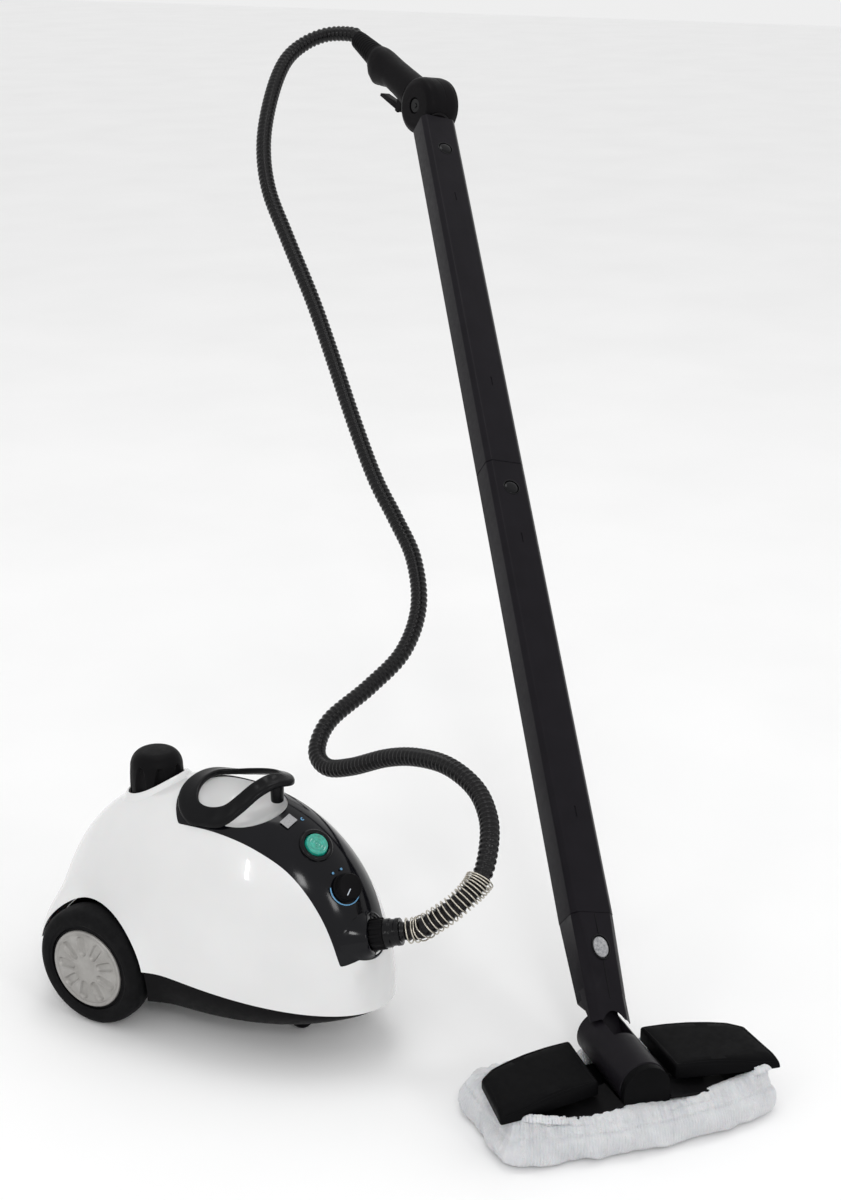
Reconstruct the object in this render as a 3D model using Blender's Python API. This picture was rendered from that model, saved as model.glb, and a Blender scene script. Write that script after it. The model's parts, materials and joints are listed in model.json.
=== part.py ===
"""A canister steam cleaner: wheeled boiler housing, steam hose, gun, two extension tubes and a floor head.

Metres, +Z up. The canister faces -Y, and every piece hangs from one empty that sets the origin.
"""

import math

import bmesh
import bpy
from mathutils import Matrix, Vector

GAP = 0.0003
ROUND = 24

# The origin: the middle of the whole machine's footprint, seen from the rear axle.
ORIGIN = Vector((-0.3812, 0.1686, 0.0))

# The canister's housing, an egg that stands on its rim, with a fender over each rear wheel
BODY_MID_Y = -0.104
NOSE_LENGTH = 0.170
TAIL_LENGTH = 0.188
BODY_HALF_WIDTH = 0.090
RIM_Z = 0.072
TOP_Z = 0.238
NOSE_DROP = 0.016
FENDER = (0.104, 0.078, 0.120)
BLEND = 14
WALL = 0.003

WHEEL_RADIUS = 0.0595
WHEEL_WIDTH = 0.030
WHEEL_FACE_X = 0.100
RIM_RADIUS = 0.042
AXLE_RADIUS = 0.004
WELL_RADIUS = 0.0635

TRAY_DEPTH = 0.038
TRAY_TAPER = 0.86

DISH_CENTER = (-0.008, -0.121)
DISH_HALF = (0.036, 0.046)
HANDLE_STUB = (0.004, -0.153)
CAP_Y = -0.017
OUTLET_DIRECTION = Vector((0.336, -0.913, 0.230)).normalized()
OUTLET_START = Vector((-0.012, -0.256, 0.1245))

BOILER_Z = 0.1115

CASTER_Y = -0.185
CASTER_TRAIL = 0.008
CASTER_RADIUS = 0.014

# The wand leans back from the floor head's pivot along this direction
PIVOT = Vector((0.046, -0.478, 0.050))
WAND = Vector((0.6149, 0.5099, 0.6016)).normalized()
HEAD_YAW = math.radians(-40.4)
NECK_TOP = 0.120
JOINT = 0.644
TUBE_TOP = 1.168
TUBE_HALF = (0.022, 0.018)
TUBE_WALL = 0.0022
SPIGOT_HALF = (0.0194, 0.0154)
GUN_FROM_PIVOT = 1.204
KNUCKLE_RADIUS = 0.0345
GRIP_DIRECTION = Vector((0.412, 0.825, 0.389)).normalized()
GRIP_END = 0.128
RELIEF_END = 0.177
TRIGGER_PIVOT = (0, 0.0285, 0.047)

HEAD_HALF = 0.124
BARREL_RADIUS = 0.0225

SLEEVE_END = 0.0357
HOSE_RADIUS = 0.0095
HOSE_STEP = 0.027
# The hose's route from the canister's outlet to the gun
HOSE_ROUTE = [
    (0.007, -0.314, 0.144),
    (0.022, -0.335, 0.163),
    (0.045, -0.345, 0.180),
    (0.072, -0.339, 0.199),
    (0.102, -0.322, 0.213),
    (0.130, -0.293, 0.224),
    (0.152, -0.251, 0.229),
    (0.170, -0.205, 0.221),
    (0.184, -0.162, 0.205),
    (0.197, -0.112, 0.179),
    (0.210, -0.074, 0.165),
    (0.231, -0.048, 0.170),
    (0.266, -0.042, 0.190),
    (0.323, -0.057, 0.212),
    (0.374, -0.069, 0.238),
    (0.423, -0.060, 0.273),
    (0.460, -0.032, 0.314),
    (0.486, 0.007, 0.348),
    (0.509, 0.048, 0.384),
    (0.542, 0.096, 0.436),
    (0.585, 0.156, 0.508),
    (0.613, 0.199, 0.561),
    (0.646, 0.256, 0.626),
    (0.674, 0.300, 0.677),
    (0.711, 0.331, 0.726),
    (0.757, 0.350, 0.776),
    (0.805, 0.361, 0.815),
    (0.840, 0.355, 0.836),
    (0.862, 0.332, 0.848),
]


# ---------- materials and basic shapes ----------


def make_material(name, color, roughness, metallic=0.0):
    material = bpy.data.materials.new(name)
    material.use_nodes = True
    shader = material.node_tree.nodes["Principled BSDF"]
    shader.inputs["Base Color"].default_value = (*color, 1.0)
    shader.inputs["Roughness"].default_value = roughness
    shader.inputs["Metallic"].default_value = metallic
    material.diffuse_color = (*color, 1.0)
    return material


WHITE = ((0.86, 0.86, 0.85), 0.22, 0.0)
GLOSS_BLACK = ((0.012, 0.012, 0.014), 0.12, 0.0)
MATTE_BLACK = ((0.020, 0.020, 0.022), 0.50, 0.0)
CHARCOAL = ((0.030, 0.027, 0.033), 0.42, 0.0)
TYRE_BLACK = ((0.016, 0.016, 0.017), 0.62, 0.0)
SILVER = ((0.42, 0.42, 0.41), 0.45, 0.6)
STEEL = ((0.62, 0.61, 0.58), 0.28, 1.0)
CAST_METAL = ((0.55, 0.56, 0.57), 0.42, 1.0)
BRASS = ((0.72, 0.55, 0.28), 0.30, 1.0)
RED_RUBBER = ((0.45, 0.08, 0.05), 0.60, 0.0)
GREEN = ((0.03, 0.42, 0.30), 0.18, 0.0)
GREY = ((0.36, 0.37, 0.38), 0.45, 0.0)
TERRY = ((0.88, 0.88, 0.87), 0.95, 0.0)


def finish(bm, name, look, parent):
    """Turns a bmesh into the named object, with its own material, under its parent empty."""
    bmesh.ops.remove_doubles(bm, verts=bm.verts, dist=0.000001)
    bmesh.ops.recalc_face_normals(bm, faces=bm.faces)
    mesh = bpy.data.meshes.new(name)
    bm.to_mesh(mesh)
    bm.free()
    mesh.shade_smooth()
    mesh.set_sharp_from_angle(angle=math.radians(35))
    obj = bpy.data.objects.new(name, mesh)
    bpy.context.scene.collection.objects.link(obj)
    obj.parent = parent
    if look is not None:
        mesh.materials.append(make_material(name, *look))
    return obj


def empty(name, parent, matrix):
    obj = bpy.data.objects.new(name, None)
    bpy.context.scene.collection.objects.link(obj)
    obj.parent = parent
    obj.matrix_local = matrix
    return obj


def loft(name, rings, look, parent, ends="caps"):
    """A body through rings of equal point count: closed at both ends, or joined end to end."""
    bm = bmesh.new()
    rows = [[bm.verts.new(point) for point in ring] for ring in rings]
    count = len(rings[0])
    pairs = list(zip(rows, rows[1:]))
    if ends == "loop":
        pairs.append((rows[-1], rows[0]))
    for low, high in pairs:
        for i in range(count):
            j = (i + 1) % count
            bm.faces.new((low[i], low[j], high[j], high[i]))
    if ends == "strips":
        cross_strips(bm, rows[0])
        cross_strips(bm, rows[-1])
    if ends == "caps":
        bm.faces.new(rows[0])
        bm.faces.new(list(reversed(rows[-1])))
    return finish(bm, name, look, parent)


def cross_strips(bm, row):
    """Closes a left-right symmetric ring, which starts on its left, with flat strips across it."""
    rear = len(row) // 4
    for k in range(len(row) // 2):
        strip = [row[rear - k], row[rear + k], row[rear + k + 1], row[(rear - k - 1) % len(row)]]
        bm.faces.new(list(dict.fromkeys(strip)))


def prism(name, outline, low, high, look, parent):
    """An outline in X and Y, raised from one height to another."""
    rings = [[(x, y, z) for x, y in outline] for z in (low, high)]
    return loft(name, rings, look, parent)


def box(name, low, high, look, parent):
    outline = [(low[0], low[1]), (high[0], low[1]), (high[0], high[1]), (low[0], high[1])]
    return prism(name, outline, low[2], high[2], look, parent)


def turned(name, outline, look, parent, segments=ROUND):
    """A closed (radius, height) outline turned about Z; radius 0 closes it on the axis."""
    bm = bmesh.new()
    rows = []
    for radius, height in outline:
        if radius == 0:
            rows.append([bm.verts.new((0, 0, height))])
            continue
        angles = [2 * math.pi * i / segments for i in range(segments)]
        rows.append([bm.verts.new((radius * math.cos(a), radius * math.sin(a), height)) for a in angles])
    pairs = list(zip(rows, rows[1:]))
    if len(rows[0]) > 1:
        pairs.append((rows[-1], rows[0]))
    for low, high in pairs:
        for i in range(segments):
            j = (i + 1) % segments
            corners = [low[i % len(low)], low[j % len(low)], high[j % len(high)], high[i % len(high)]]
            distinct = list(dict.fromkeys(corners))
            bm.faces.new(distinct)
    return finish(bm, name, look, parent)


def rod(name, radius, low, high, look, parent, segments=ROUND, chamfer=0.0):
    outline = [(0, low), (radius - chamfer, low)]
    if chamfer:
        outline += [(radius, low + chamfer), (radius, high - chamfer)]
    outline += [(radius - chamfer, high), (0, high)]
    return turned(name, outline, look, parent, segments)


def sleeve(name, outer, inner, low, high, look, parent, segments=ROUND):
    return turned(name, [(inner, low), (outer, low), (outer, high), (inner, high)], look, parent, segments)


def turn_to(direction, location, spin_axis=None):
    """A matrix that points local Z along a direction, from a location."""
    z = Vector(direction).normalized()
    side = Vector(spin_axis) if spin_axis is not None else Vector((1, 0, 0))
    if abs(side.dot(z)) > 0.99:
        side = Vector((0, 1, 0))
    x = (side - z * side.dot(z)).normalized()
    y = z.cross(x)
    rotation = Matrix((x, y, z)).transposed().to_4x4()
    return Matrix.Translation(location) @ rotation


def place(obj, direction, location):
    obj.matrix_local = turn_to(direction, location)
    return obj


def boolean(obj, tool, operation="DIFFERENCE"):
    modifier = obj.modifiers.new(f"{operation.lower()}_{tool.name}", "BOOLEAN")
    modifier.operation = operation
    modifier.solver = "EXACT"
    modifier.object = tool
    tool.hide_render = True
    tool.display_type = "WIRE"
    return obj


def join(obj, tool):
    return boolean(obj, tool, "UNION")


def cut_rod(obj, name, radius, low, high, matrix, parent, segments=24):
    tool = rod(f"cutter_{name}", radius, low, high, None, parent, segments)
    tool.matrix_local = matrix
    return boolean(obj, tool)


def cut_box(obj, name, low, high, parent):
    return boolean(obj, box(f"cutter_{name}", low, high, None, parent))


def mirrored(side):
    return {-1: "right", 1: "left"}[side]


# ---------- the canister's rounded surface ----------


def body_field(x, y, z):
    """1 on the housing's outer surface before the nose drops, less inside it."""
    length = NOSE_LENGTH if y < BODY_MID_Y else TAIL_LENGTH
    power = 2.05 if y < BODY_MID_Y else 2.3
    plan = (abs(x / BODY_HALF_WIDTH) ** power + abs((y - BODY_MID_Y) / length) ** power) ** (1 / power)
    rise = max(z - RIM_Z, 0) / (TOP_Z - RIM_Z)
    egg = (plan**2.1 + rise**2.1) ** (1 / 2.1)
    fender = (abs(x / FENDER[0]) ** 5 + abs(y / FENDER[1]) ** 4 + abs(z / FENDER[2]) ** 4) ** 0.23
    return (max(egg, 1e-6) ** -BLEND + max(fender, 1e-6) ** -BLEND) ** (-1 / BLEND)


def bisect(inside, low, high):
    for _ in range(40):
        middle = (low + high) / 2
        low, high = (middle, high) if inside(middle) else (low, middle)
    return low


def dropped(y, z):
    """The housing's height with its nose lowered."""
    share = max(0.0, (-y - 0.08) / 0.18) ** 1.3
    return z - NOSE_DROP * share * (1 - (z - RIM_Z) / (TOP_Z - RIM_Z))


def surface_height(x, y):
    return dropped(y, bisect(lambda z: body_field(x, y, z) < 1, RIM_Z, 0.3))


def body_point(angle, climb, inset=0.0, shrink=1.0):
    """A point of the housing at a plan angle; climb is 0 at the rim and a quarter turn at the top."""
    z = RIM_Z + (TOP_Z - RIM_Z) * math.sin(climb)
    cos, sin = math.cos(angle), math.sin(angle)
    radius = bisect(lambda r: body_field(r * cos, BODY_MID_Y + r * sin, z) < 1, 0, 0.4) * shrink
    radius = max(radius - inset * math.cos(climb), 0.001)
    y = BODY_MID_Y + radius * sin
    return Vector((radius * cos, y, dropped(y, z - inset * math.sin(climb))))


def body_ring(climb, inset=0.0, shrink=1.0, count=44):
    return [body_point(2 * math.pi * i / count, climb, inset, shrink) for i in range(count)]


def ellipse(center, half, count=ROUND):
    angles = [2 * math.pi * i / count for i in range(count)]
    return [(center[0] + half[0] * math.cos(a), center[1] + half[1] * math.sin(a)) for a in angles]


CLIMBS = [math.radians(a) for a in (0, 9, 18, 27, 36, 45, 54, 63, 71, 78, 84)]


def shell_body(name, look, parent):
    """The housing as one thin wall, open underneath."""
    bm = bmesh.new()
    outer = [[bm.verts.new(p) for p in body_ring(climb)] for climb in CLIMBS]
    inner = [[bm.verts.new(p) for p in body_ring(climb, WALL)] for climb in CLIMBS]
    count = len(outer[0])
    for rows in (outer, inner):
        for low, high in zip(rows, rows[1:]):
            for i in range(count):
                j = (i + 1) % count
                bm.faces.new((low[i], low[j], high[j], high[i]))
        cross_strips(bm, rows[-1])
    for i in range(count):
        j = (i + 1) % count
        bm.faces.new((outer[0][i], outer[0][j], inner[0][j], inner[0][i]))
    return finish(bm, name, look, parent)


# The control panel's outline, seen from the front and above: (side, down the slope)
PANEL_OUTLINE = [
    (-0.008, -0.1210),
    (0.014, -0.1170),
    (0.029, -0.1060),
    (0.038, -0.0870),
    (0.040, -0.0587),
    (0.040, -0.0254),
    (0.038, 0.0085),
    (0.034, 0.0403),
    (0.020, 0.0834),
    (0.012, 0.0990),
    (-0.016, 0.1085),
    (-0.042, 0.1011),
    (-0.0430, 0.0550),
    (-0.0440, 0.0085),
    (-0.0470, -0.0254),
    (-0.0495, -0.0587),
    (-0.0505, -0.0926),
    (-0.040, -0.1070),
    (-0.026, -0.1170),
]
SLOPE = math.sqrt(0.5)


def panel_cutter(name, grow, parent):
    """A slanted block with the panel's outline, from inside the housing to outside it."""
    middle = Vector((-0.006, -0.010))
    outline = [Vector(p) + (Vector(p) - middle).normalized() * 1.2 * grow for p in PANEL_OUTLINE]
    rings = []
    for lift in (0.13, 0.36):
        rings.append([(x, -(s + lift) * SLOPE, (lift - s) * SLOPE) for x, s in outline])
    return loft(name, rings, None, parent)


def make_housing(parent):
    shell = shell_body("upper_shell", WHITE, parent)
    panel = shell_body("control_panel", GLOSS_BLACK, parent)
    boolean(panel, panel_cutter("cutter_panel_shape", 0.0, parent), "INTERSECT")
    boolean(shell, panel_cutter("cutter_panel_window", GAP, parent))
    for obj in (shell, panel):
        oval = prism(f"cutter_dish_{obj.name}", ellipse(DISH_CENTER, DISH_HALF), 0.10, 0.30, None, parent)
        boolean(obj, oval)
    for side in (-1, 1):
        well = turn_to((side, 0, 0), (side * 0.066, 0, WHEEL_RADIUS))
        cut_rod(shell, f"well_{mirrored(side)}", WELL_RADIUS, 0, 0.08, well, parent, 40)
    cut_rod(shell, "cap_hole", 0.0275, 0.16, 0.30, Matrix.Translation((0, CAP_Y, 0)), parent, 32)
    cut_rod(shell, "cord_hole", 0.0104, -0.02, 0.03, gland_matrix(), parent)
    for obj in (shell, panel):
        cut_rod(obj, f"outlet_hole_{obj.name}", 0.0180, -0.03, 0.03, outlet_matrix(), parent, ROUND)
    cut_rod(panel, "button_hole", 0.0150, -0.02, 0.02, button_matrix(), parent)
    cut_rod(panel, "knob_hole", 0.0045, -0.02, 0.02, knob_matrix(), parent)
    make_dish(parent)
    make_tray(parent)


def surface_matrix(x, y, lift=0.0):
    """A frame on the housing whose Z is the surface's outward direction."""
    step = 0.004
    across = Vector((2 * step, 0, surface_height(x + step, y) - surface_height(x - step, y)))
    along = Vector((0, 2 * step, surface_height(x, y + step) - surface_height(x, y - step)))
    normal = across.cross(along).normalized()
    return turn_to(normal, Vector((x, y, surface_height(x, y))) + normal * lift)


def button_matrix():
    return surface_matrix(-0.0125, -0.206)


def knob_matrix():
    return surface_matrix(-0.015, -0.238)


def label_matrix():
    return surface_matrix(-0.014, -0.177)


def outlet_matrix():
    return turn_to(OUTLET_DIRECTION, OUTLET_START)


def gland_matrix():
    return turn_to((0, 1, 0), (0.035, 0.074, 0.095))


def make_dish(parent):
    """The white finger dish inside the handle's loop."""
    depth = 0.014
    rings = []
    for under, shares in ((0.0, (1.0, 0.93, 0.78, 0.55, 0.25)), (0.0024, (0.25, 0.55, 0.78, 0.93, 1.0))):
        for share in shares:
            ring = []
            for i in range(ROUND):
                a = 2 * math.pi * i / ROUND
                rim_x = (DISH_HALF[0] - GAP) * math.cos(a)
                rim_y = (DISH_HALF[1] - GAP) * math.sin(a)
                rim_z = surface_height(DISH_CENTER[0] + rim_x, DISH_CENTER[1] + rim_y) - 0.0012
                middle = 0.225
                z = rim_z * share + middle * (1 - share) - depth * (1 - share**3) - under
                ring.append((DISH_CENTER[0] + rim_x * share, DISH_CENTER[1] + rim_y * share, z))
            rings.append(ring)
    loft("finger_dish", [rings[i] for i in (4, 3, 2, 1, 0, 9, 8, 7, 6, 5)], WHITE, parent)


def tray_ring(depth, inset, count=44):
    """The base tray's outline at a depth under the shell's rim."""
    share = depth / TRAY_DEPTH
    shallow = 0.62
    scale = 1 - (1 - TRAY_TAPER) * share**2
    ring = []
    for i in range(count):
        p = body_point(2 * math.pi * i / count, 0.0, 0.003 + inset, scale)
        rise = shallow * (RIM_Z - p.z) / NOSE_DROP
        ring.append((p.x, p.y, p.z - GAP - depth * (1 - rise)))
    return ring


def make_tray(parent):
    outer = [tray_ring(d, 0.0) for d in (TRAY_DEPTH, 0.9 * TRAY_DEPTH, 0.5 * TRAY_DEPTH, 0.0)]
    inner = [tray_ring(d, WALL) for d in (0.0, 0.5 * TRAY_DEPTH, 0.9 * TRAY_DEPTH - 0.001)]
    tray = loft("base_tray", outer + inner, MATTE_BLACK, parent, "strips")
    for side in (-1, 1):
        well = turn_to((side, 0, 0), (side * 0.066, 0, WHEEL_RADIUS))
        cut_rod(tray, f"tray_well_{mirrored(side)}", WELL_RADIUS, 0, 0.08, well, parent, 40)
        low = (side * 0.053 - 0.005, -0.009, 0.0345)
        stand = (side * 0.053 + 0.005, 0.009, WHEEL_RADIUS + 0.010)
        join(tray, box(f"cutter_bearing_{mirrored(side)}", low, stand, None, parent))
    axle = turn_to((1, 0, 0), (0, 0, WHEEL_RADIUS))
    cut_rod(tray, "axle_hole", AXLE_RADIUS + GAP, -0.064, 0.064, axle, parent, 16)
    cut_rod(tray, "caster_hole", 0.0045, 0.0, 0.06, Matrix.Translation((0, CASTER_Y, 0)), parent)


# ---------- handle, cap and controls ----------


# The carry loop's middle line, from behind round its right side: (x, y, half width, lift)
HANDLE_LOOP = [
    (-0.0100, -0.0745, 0.0085, 0.0000),
    (-0.0300, -0.0770, 0.0100, 0.0000),
    (-0.0425, -0.0890, 0.0080, 0.0000),
    (-0.0448, -0.1060, 0.0060, 0.0005),
    (-0.0420, -0.1240, 0.0070, 0.0030),
    (-0.0330, -0.1370, 0.0075, 0.0090),
    (-0.0190, -0.1470, 0.0075, 0.0150),
    (-0.0050, -0.1550, 0.0078, 0.0185),
    (0.0080, -0.1610, 0.0072, 0.0190),
    (0.0190, -0.1510, 0.0062, 0.0170),
    (0.0260, -0.1330, 0.0060, 0.0120),
    (0.0280, -0.1120, 0.0060, 0.0060),
    (0.0240, -0.0920, 0.0065, 0.0010),
    (0.0100, -0.0785, 0.0075, 0.0000),
]


def loop_stations(steps):
    """The loop's points on a smooth closed curve, a few steps for each given one."""
    count = len(HANDLE_LOOP)
    stations = []
    for i in range(count):
        a, b, c, d = (HANDLE_LOOP[(i + k) % count] for k in (-1, 0, 1, 2))
        for k in range(steps):
            t = k / steps
            stations.append([
                0.5 * (2 * q + t * (r - p + t * (2 * p - 5 * q + 4 * r - u + t * (3 * q - p - 3 * r + u))))
                for p, q, r, u in zip(a, b, c, d)
            ])
    return stations


def make_handle(parent):
    """A teardrop loop: its rear lies on the housing, and its front rises over the dish."""
    thickness = 0.0065
    stations = loop_stations(3)
    rings = []
    for i, (x, y, width, lift) in enumerate(stations):
        before, after = stations[i - 1], stations[(i + 1) % len(stations)]
        tangent = Vector((after[0] - before[0], after[1] - before[1])).normalized()
        out = Vector((tangent.y, -tangent.x))
        ring = []
        for across, up in ((-1, 0), (-0.6, 1), (0.6, 1), (1, 0), (0.5, 0), (-0.5, 0)):
            px, py = x + out.x * width * across, y + out.y * width * across
            ring.append((px, py, surface_height(px, py) + max(lift, 0.0) + 0.0007 + thickness * up))
        rings.append(ring)
    handle = loft("carry_handle", rings, GLOSS_BLACK, parent, "loop")
    foot = surface_height(*HANDLE_STUB)
    post = rod("cutter_post", 0.006, foot - 0.0030, foot + 0.0210, None, parent, 16)
    post.location = (*HANDLE_STUB, 0)
    join(handle, post)


def make_cap(parent):
    """The fluted safety cap, its threaded plug and seal, and the filler neck they close."""
    at = empty("cap_axis", parent, Matrix.Translation((0, CAP_Y, 0)))
    neck = [(0.0125, 0.1594), (0.0220, 0.1594), (0.0220, 0.164), (0.0160, 0.165)]
    neck += [(0.0160, 0.213), (0.0125, 0.213)]
    turned("filler_neck", neck, CAST_METAL, at)
    plug = [(0, 0.192), (0.0118, 0.192), (0.0118, 0.2146), (0.0165, 0.2146), (0.0165, 0.2205), (0, 0.2205)]
    turned("cap_plug", plug, BRASS, at)
    sleeve("cap_seal", 0.0158, 0.0122, 0.2133, 0.2143, RED_RUBBER, at)
    count = 32
    rings = []
    profile = [(0.0172, 0.2208), (0.0172, 0.199), (0.0250, 0.199), (0.0262, 0.206), (0.0258, 0.222)]
    profile += [(0.0240, 0.243), (0.0205, 0.2505), (0.0120, 0.2530)]
    for k, (radius, z) in enumerate(profile):
        flute = 0.0 if k < 2 or k == 7 else 0.075
        ring = []
        for i in range(count):
            a = 2 * math.pi * i / count
            r = radius * (1 - flute * (0.5 + 0.5 * math.cos(8 * a)) ** 2)
            ring.append((r * math.cos(a), r * math.sin(a), z))
        rings.append(ring)
    loft("filler_cap", rings, MATTE_BLACK, at)


def make_controls(parent):
    at = empty("button_axis", parent, button_matrix())
    sleeve("button_bezel", 0.0146, 0.0118, -0.006, 0.0018, GLOSS_BLACK, at)
    button = [(0, -0.008), (0.0112, -0.008), (0.0112, 0.0014), (0.0085, 0.0030), (0, 0.0034)]
    turned("power_button", button, GREEN, at)
    box("switch_body", (-0.010, -0.010, -0.026), (0.010, 0.010, -0.0118), GREY, at)

    at = empty("knob_axis", parent, knob_matrix())
    shaft = [(0, -0.020), (0.0042, -0.020), (0.0042, 0.0012), (0.0128, 0.0012), (0.0128, 0.0090)]
    shaft += [(0.0108, 0.0120), (0, 0.0126)]
    turned("steam_knob", shaft, MATTE_BLACK, at, 28)
    sleeve("steam_regulator", 0.010, 0.0045, -0.018, -0.0065, CAST_METAL, at, 20)

    at = empty("label_frame", parent, label_matrix())
    box("vent_label", (-0.0070, -0.0050, 0.0009), (0.0070, 0.0050, 0.0016), GREY, at)


def make_outlet(parent):
    at = empty("outlet_axis", parent, outlet_matrix())
    inlet = [(0.0068, -0.026), (0.0108, -0.026), (0.0108, 0.0), (0.0176, 0.0)]
    inlet += [(0.0170, 0.0075), (0.0068, 0.0075)]
    turned("outlet_bezel", inlet, GLOSS_BLACK, at)
    count = 40
    rings = []
    for radius, z in ((0.0118, 0.0079), (0.0145, 0.0079), (0.0145, 0.0205), (0.0118, 0.0205)):
        ring = []
        for i in range(count):
            a = 2 * math.pi * i / count
            r = radius if radius < 0.013 or i % 4 < 2 else radius - 0.0012
            ring.append((r * math.cos(a), r * math.sin(a), z))
        rings.append(ring)
    loft("outlet_collar", rings, MATTE_BLACK, at, "loop")
    stem = [(0.0070, 0.0079), (0.0114, 0.0079), (0.0114, 0.0208), (0.0128, 0.0208)]
    stem += [(0.0122, SLEEVE_END), (0.0070, SLEEVE_END)]
    turned("outlet_sleeve", stem, GLOSS_BLACK, at)


# ---------- inside the canister ----------


def make_internals(parent):
    boiler = [(0, -0.164), (0.027, -0.160), (0.044, -0.146), (0.0475, -0.132)]
    boiler += [(0.0475, 0.005), (0.044, 0.024), (0.027, 0.038), (0, 0.042)]
    tank = turned("boiler_tank", [(r, -y) for r, y in reversed(boiler)], CAST_METAL, parent, 28)
    place(tank, (0, -1, 0), (0, 0, BOILER_Z))
    band = sleeve("heater_band", 0.0510, 0.0479, 0.060, 0.100, STEEL, parent, 28)
    place(band, (0, -1, 0), (0, 0, BOILER_Z))
    valve_outline = [(0, 0.1594), (0.007, 0.1594), (0.007, 0.172), (0.004, 0.175), (0, 0.175)]
    valve = turned("safety_valve", valve_outline, BRASS, parent, 16)
    valve.location = (0.0, -0.0515, 0)
    box("solenoid_valve", (-0.046, -0.205, 0.085), (-0.014, -0.175, 0.120), GREY, parent)
    pipe = sleeve("steam_pipe", 0.0045, 0.003, -0.0523, -0.0263, BRASS, parent, 12)
    place(pipe, OUTLET_DIRECTION, OUTLET_START)
    gland = [(0.0032, -0.010), (0.0070, -0.010), (0.0070, 0.0042), (0.0100, 0.0042)]
    gland += [(0.0085, 0.0100), (0.0032, 0.0100)]
    cord = turned("cord_gland", gland, MATTE_BLACK, parent, 20)
    cord.matrix_local = gland_matrix()


# ---------- wheels ----------


def make_wheels(parent):
    axle = rod("rear_axle", AXLE_RADIUS, -0.090, 0.090, STEEL, parent, 16)
    place(axle, (1, 0, 0), (0, 0, WHEEL_RADIUS))
    for side in (-1, 1):
        name = mirrored(side)
        at = empty(f"wheel_axis_{name}", parent, turn_to((side, 0, 0), (0, 0, WHEEL_RADIUS)))
        outer, inner = WHEEL_FACE_X, WHEEL_FACE_X - WHEEL_WIDTH
        r = WHEEL_RADIUS
        tyre = [(RIM_RADIUS, inner), (r - 0.006, inner), (r - 0.0015, inner + 0.003), (r, inner + 0.008)]
        tyre += [(r, outer - 0.008), (r - 0.0015, outer - 0.003), (r - 0.006, outer), (RIM_RADIUS, outer)]
        turned(f"tyre_{name}", tyre, TYRE_BLACK, at)
        bore = AXLE_RADIUS + GAP
        edge = RIM_RADIUS - GAP
        lip = edge - 0.002
        hub = [(bore, inner + 0.002), (edge, inner + 0.002), (edge, outer - 0.002), (lip, outer - 0.002)]
        hub += [(lip, outer - 0.006), (0.012, outer - 0.006), (0.012, outer - 0.009), (bore, outer - 0.009)]
        turned(f"wheel_hub_{name}", hub, MATTE_BLACK, at)
        face = edge - 0.0024
        cap = [(0, outer - 0.0055), (face, outer - 0.0055), (face, outer - 0.0008), (face - 0.002, outer)]
        cap += [(0.010, outer + 0.001), (0, outer + 0.0012)]
        turned(f"hubcap_{name}", cap, SILVER, at)


def make_caster(parent):
    at = empty("caster_axis", parent, Matrix.Translation((0, CASTER_Y, 0)))
    socket = [(0.0, 0.0296), (0.0030, 0.0296), (0.0030, 0.0336), (0.0150, 0.0336)]
    socket += [(0.0150, 0.0366), (0.0040, 0.0366), (0.0040, 0.0460), (0, 0.0460)]
    turned("caster_socket", socket, STEEL, at, 20)
    fork = box("caster_fork", (-0.0105, -0.0080, 0.0120), (0.0105, 0.0150, 0.0332), MATTE_BLACK, at)
    cut_box(fork, "fork_gap", (-0.0072, -0.02, -0.01), (0.0072, 0.03, 0.0294), at)
    cut_rod(fork, "fork_pin", 0.0033, 0.015, 0.05, Matrix.Identity(4), at, 16)
    wheel = empty("caster_wheel_axis", at, turn_to((1, 0, 0), (0, CASTER_TRAIL, CASTER_RADIUS)))
    join(fork, rod("cutter_caster_axle", 0.0020, -0.0090, 0.0090, None, wheel, 12))
    r = CASTER_RADIUS
    tread = [(0.0023, -0.0068), (r - 0.002, -0.0068), (r, -0.0045), (r, 0.0045)]
    tread += [(r - 0.002, 0.0068), (0.0023, 0.0068)]
    turned("caster_wheel", tread, TYRE_BLACK, wheel, 24)


# ---------- hose ----------


def evenly(points, step):
    """Points about a step apart along a polyline."""
    lengths = [0.0]
    for a, b in zip(points, points[1:]):
        lengths.append(lengths[-1] + (b - a).length)
    count = round(lengths[-1] / step)
    result = []
    index = 0
    for k in range(count + 1):
        goal = lengths[-1] * k / count
        while index < len(points) - 2 and lengths[index + 1] < goal:
            index += 1
        span = lengths[index + 1] - lengths[index]
        result.append(points[index].lerp(points[index + 1], (goal - lengths[index]) / span))
    return result


def smooth_route(route, step):
    """Points about a step apart along a smooth curve through the route's own points."""
    pts = [Vector(p) for p in route]
    pts = [2 * pts[0] - pts[1]] + pts + [2 * pts[-1] - pts[-2]]
    fine = []
    for a, b, c, d in zip(pts, pts[1:], pts[2:], pts[3:]):
        for k in range(24):
            t = k / 24
            bend = 2 * a - 5 * b + 4 * c - d
            fine.append(0.5 * (2 * b + (c - a) * t + bend * t**2 + (3 * b - a - 3 * c + d) * t**3))
    fine.append(pts[-2])
    return evenly(fine, step)


def hose_points():
    """The hose's centre line, which leaves both of its ends straight."""
    start, after = (outlet_matrix() @ Vector((0, 0, SLEEVE_END + d)) for d in (GAP, 0.016))
    end, before = (gun_matrix() @ Vector((0, 0, RELIEF_END + d)) for d in (GAP, 0.016))
    return [start] + smooth_route([after, *HOSE_ROUTE, before], HOSE_STEP) + [end]


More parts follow.
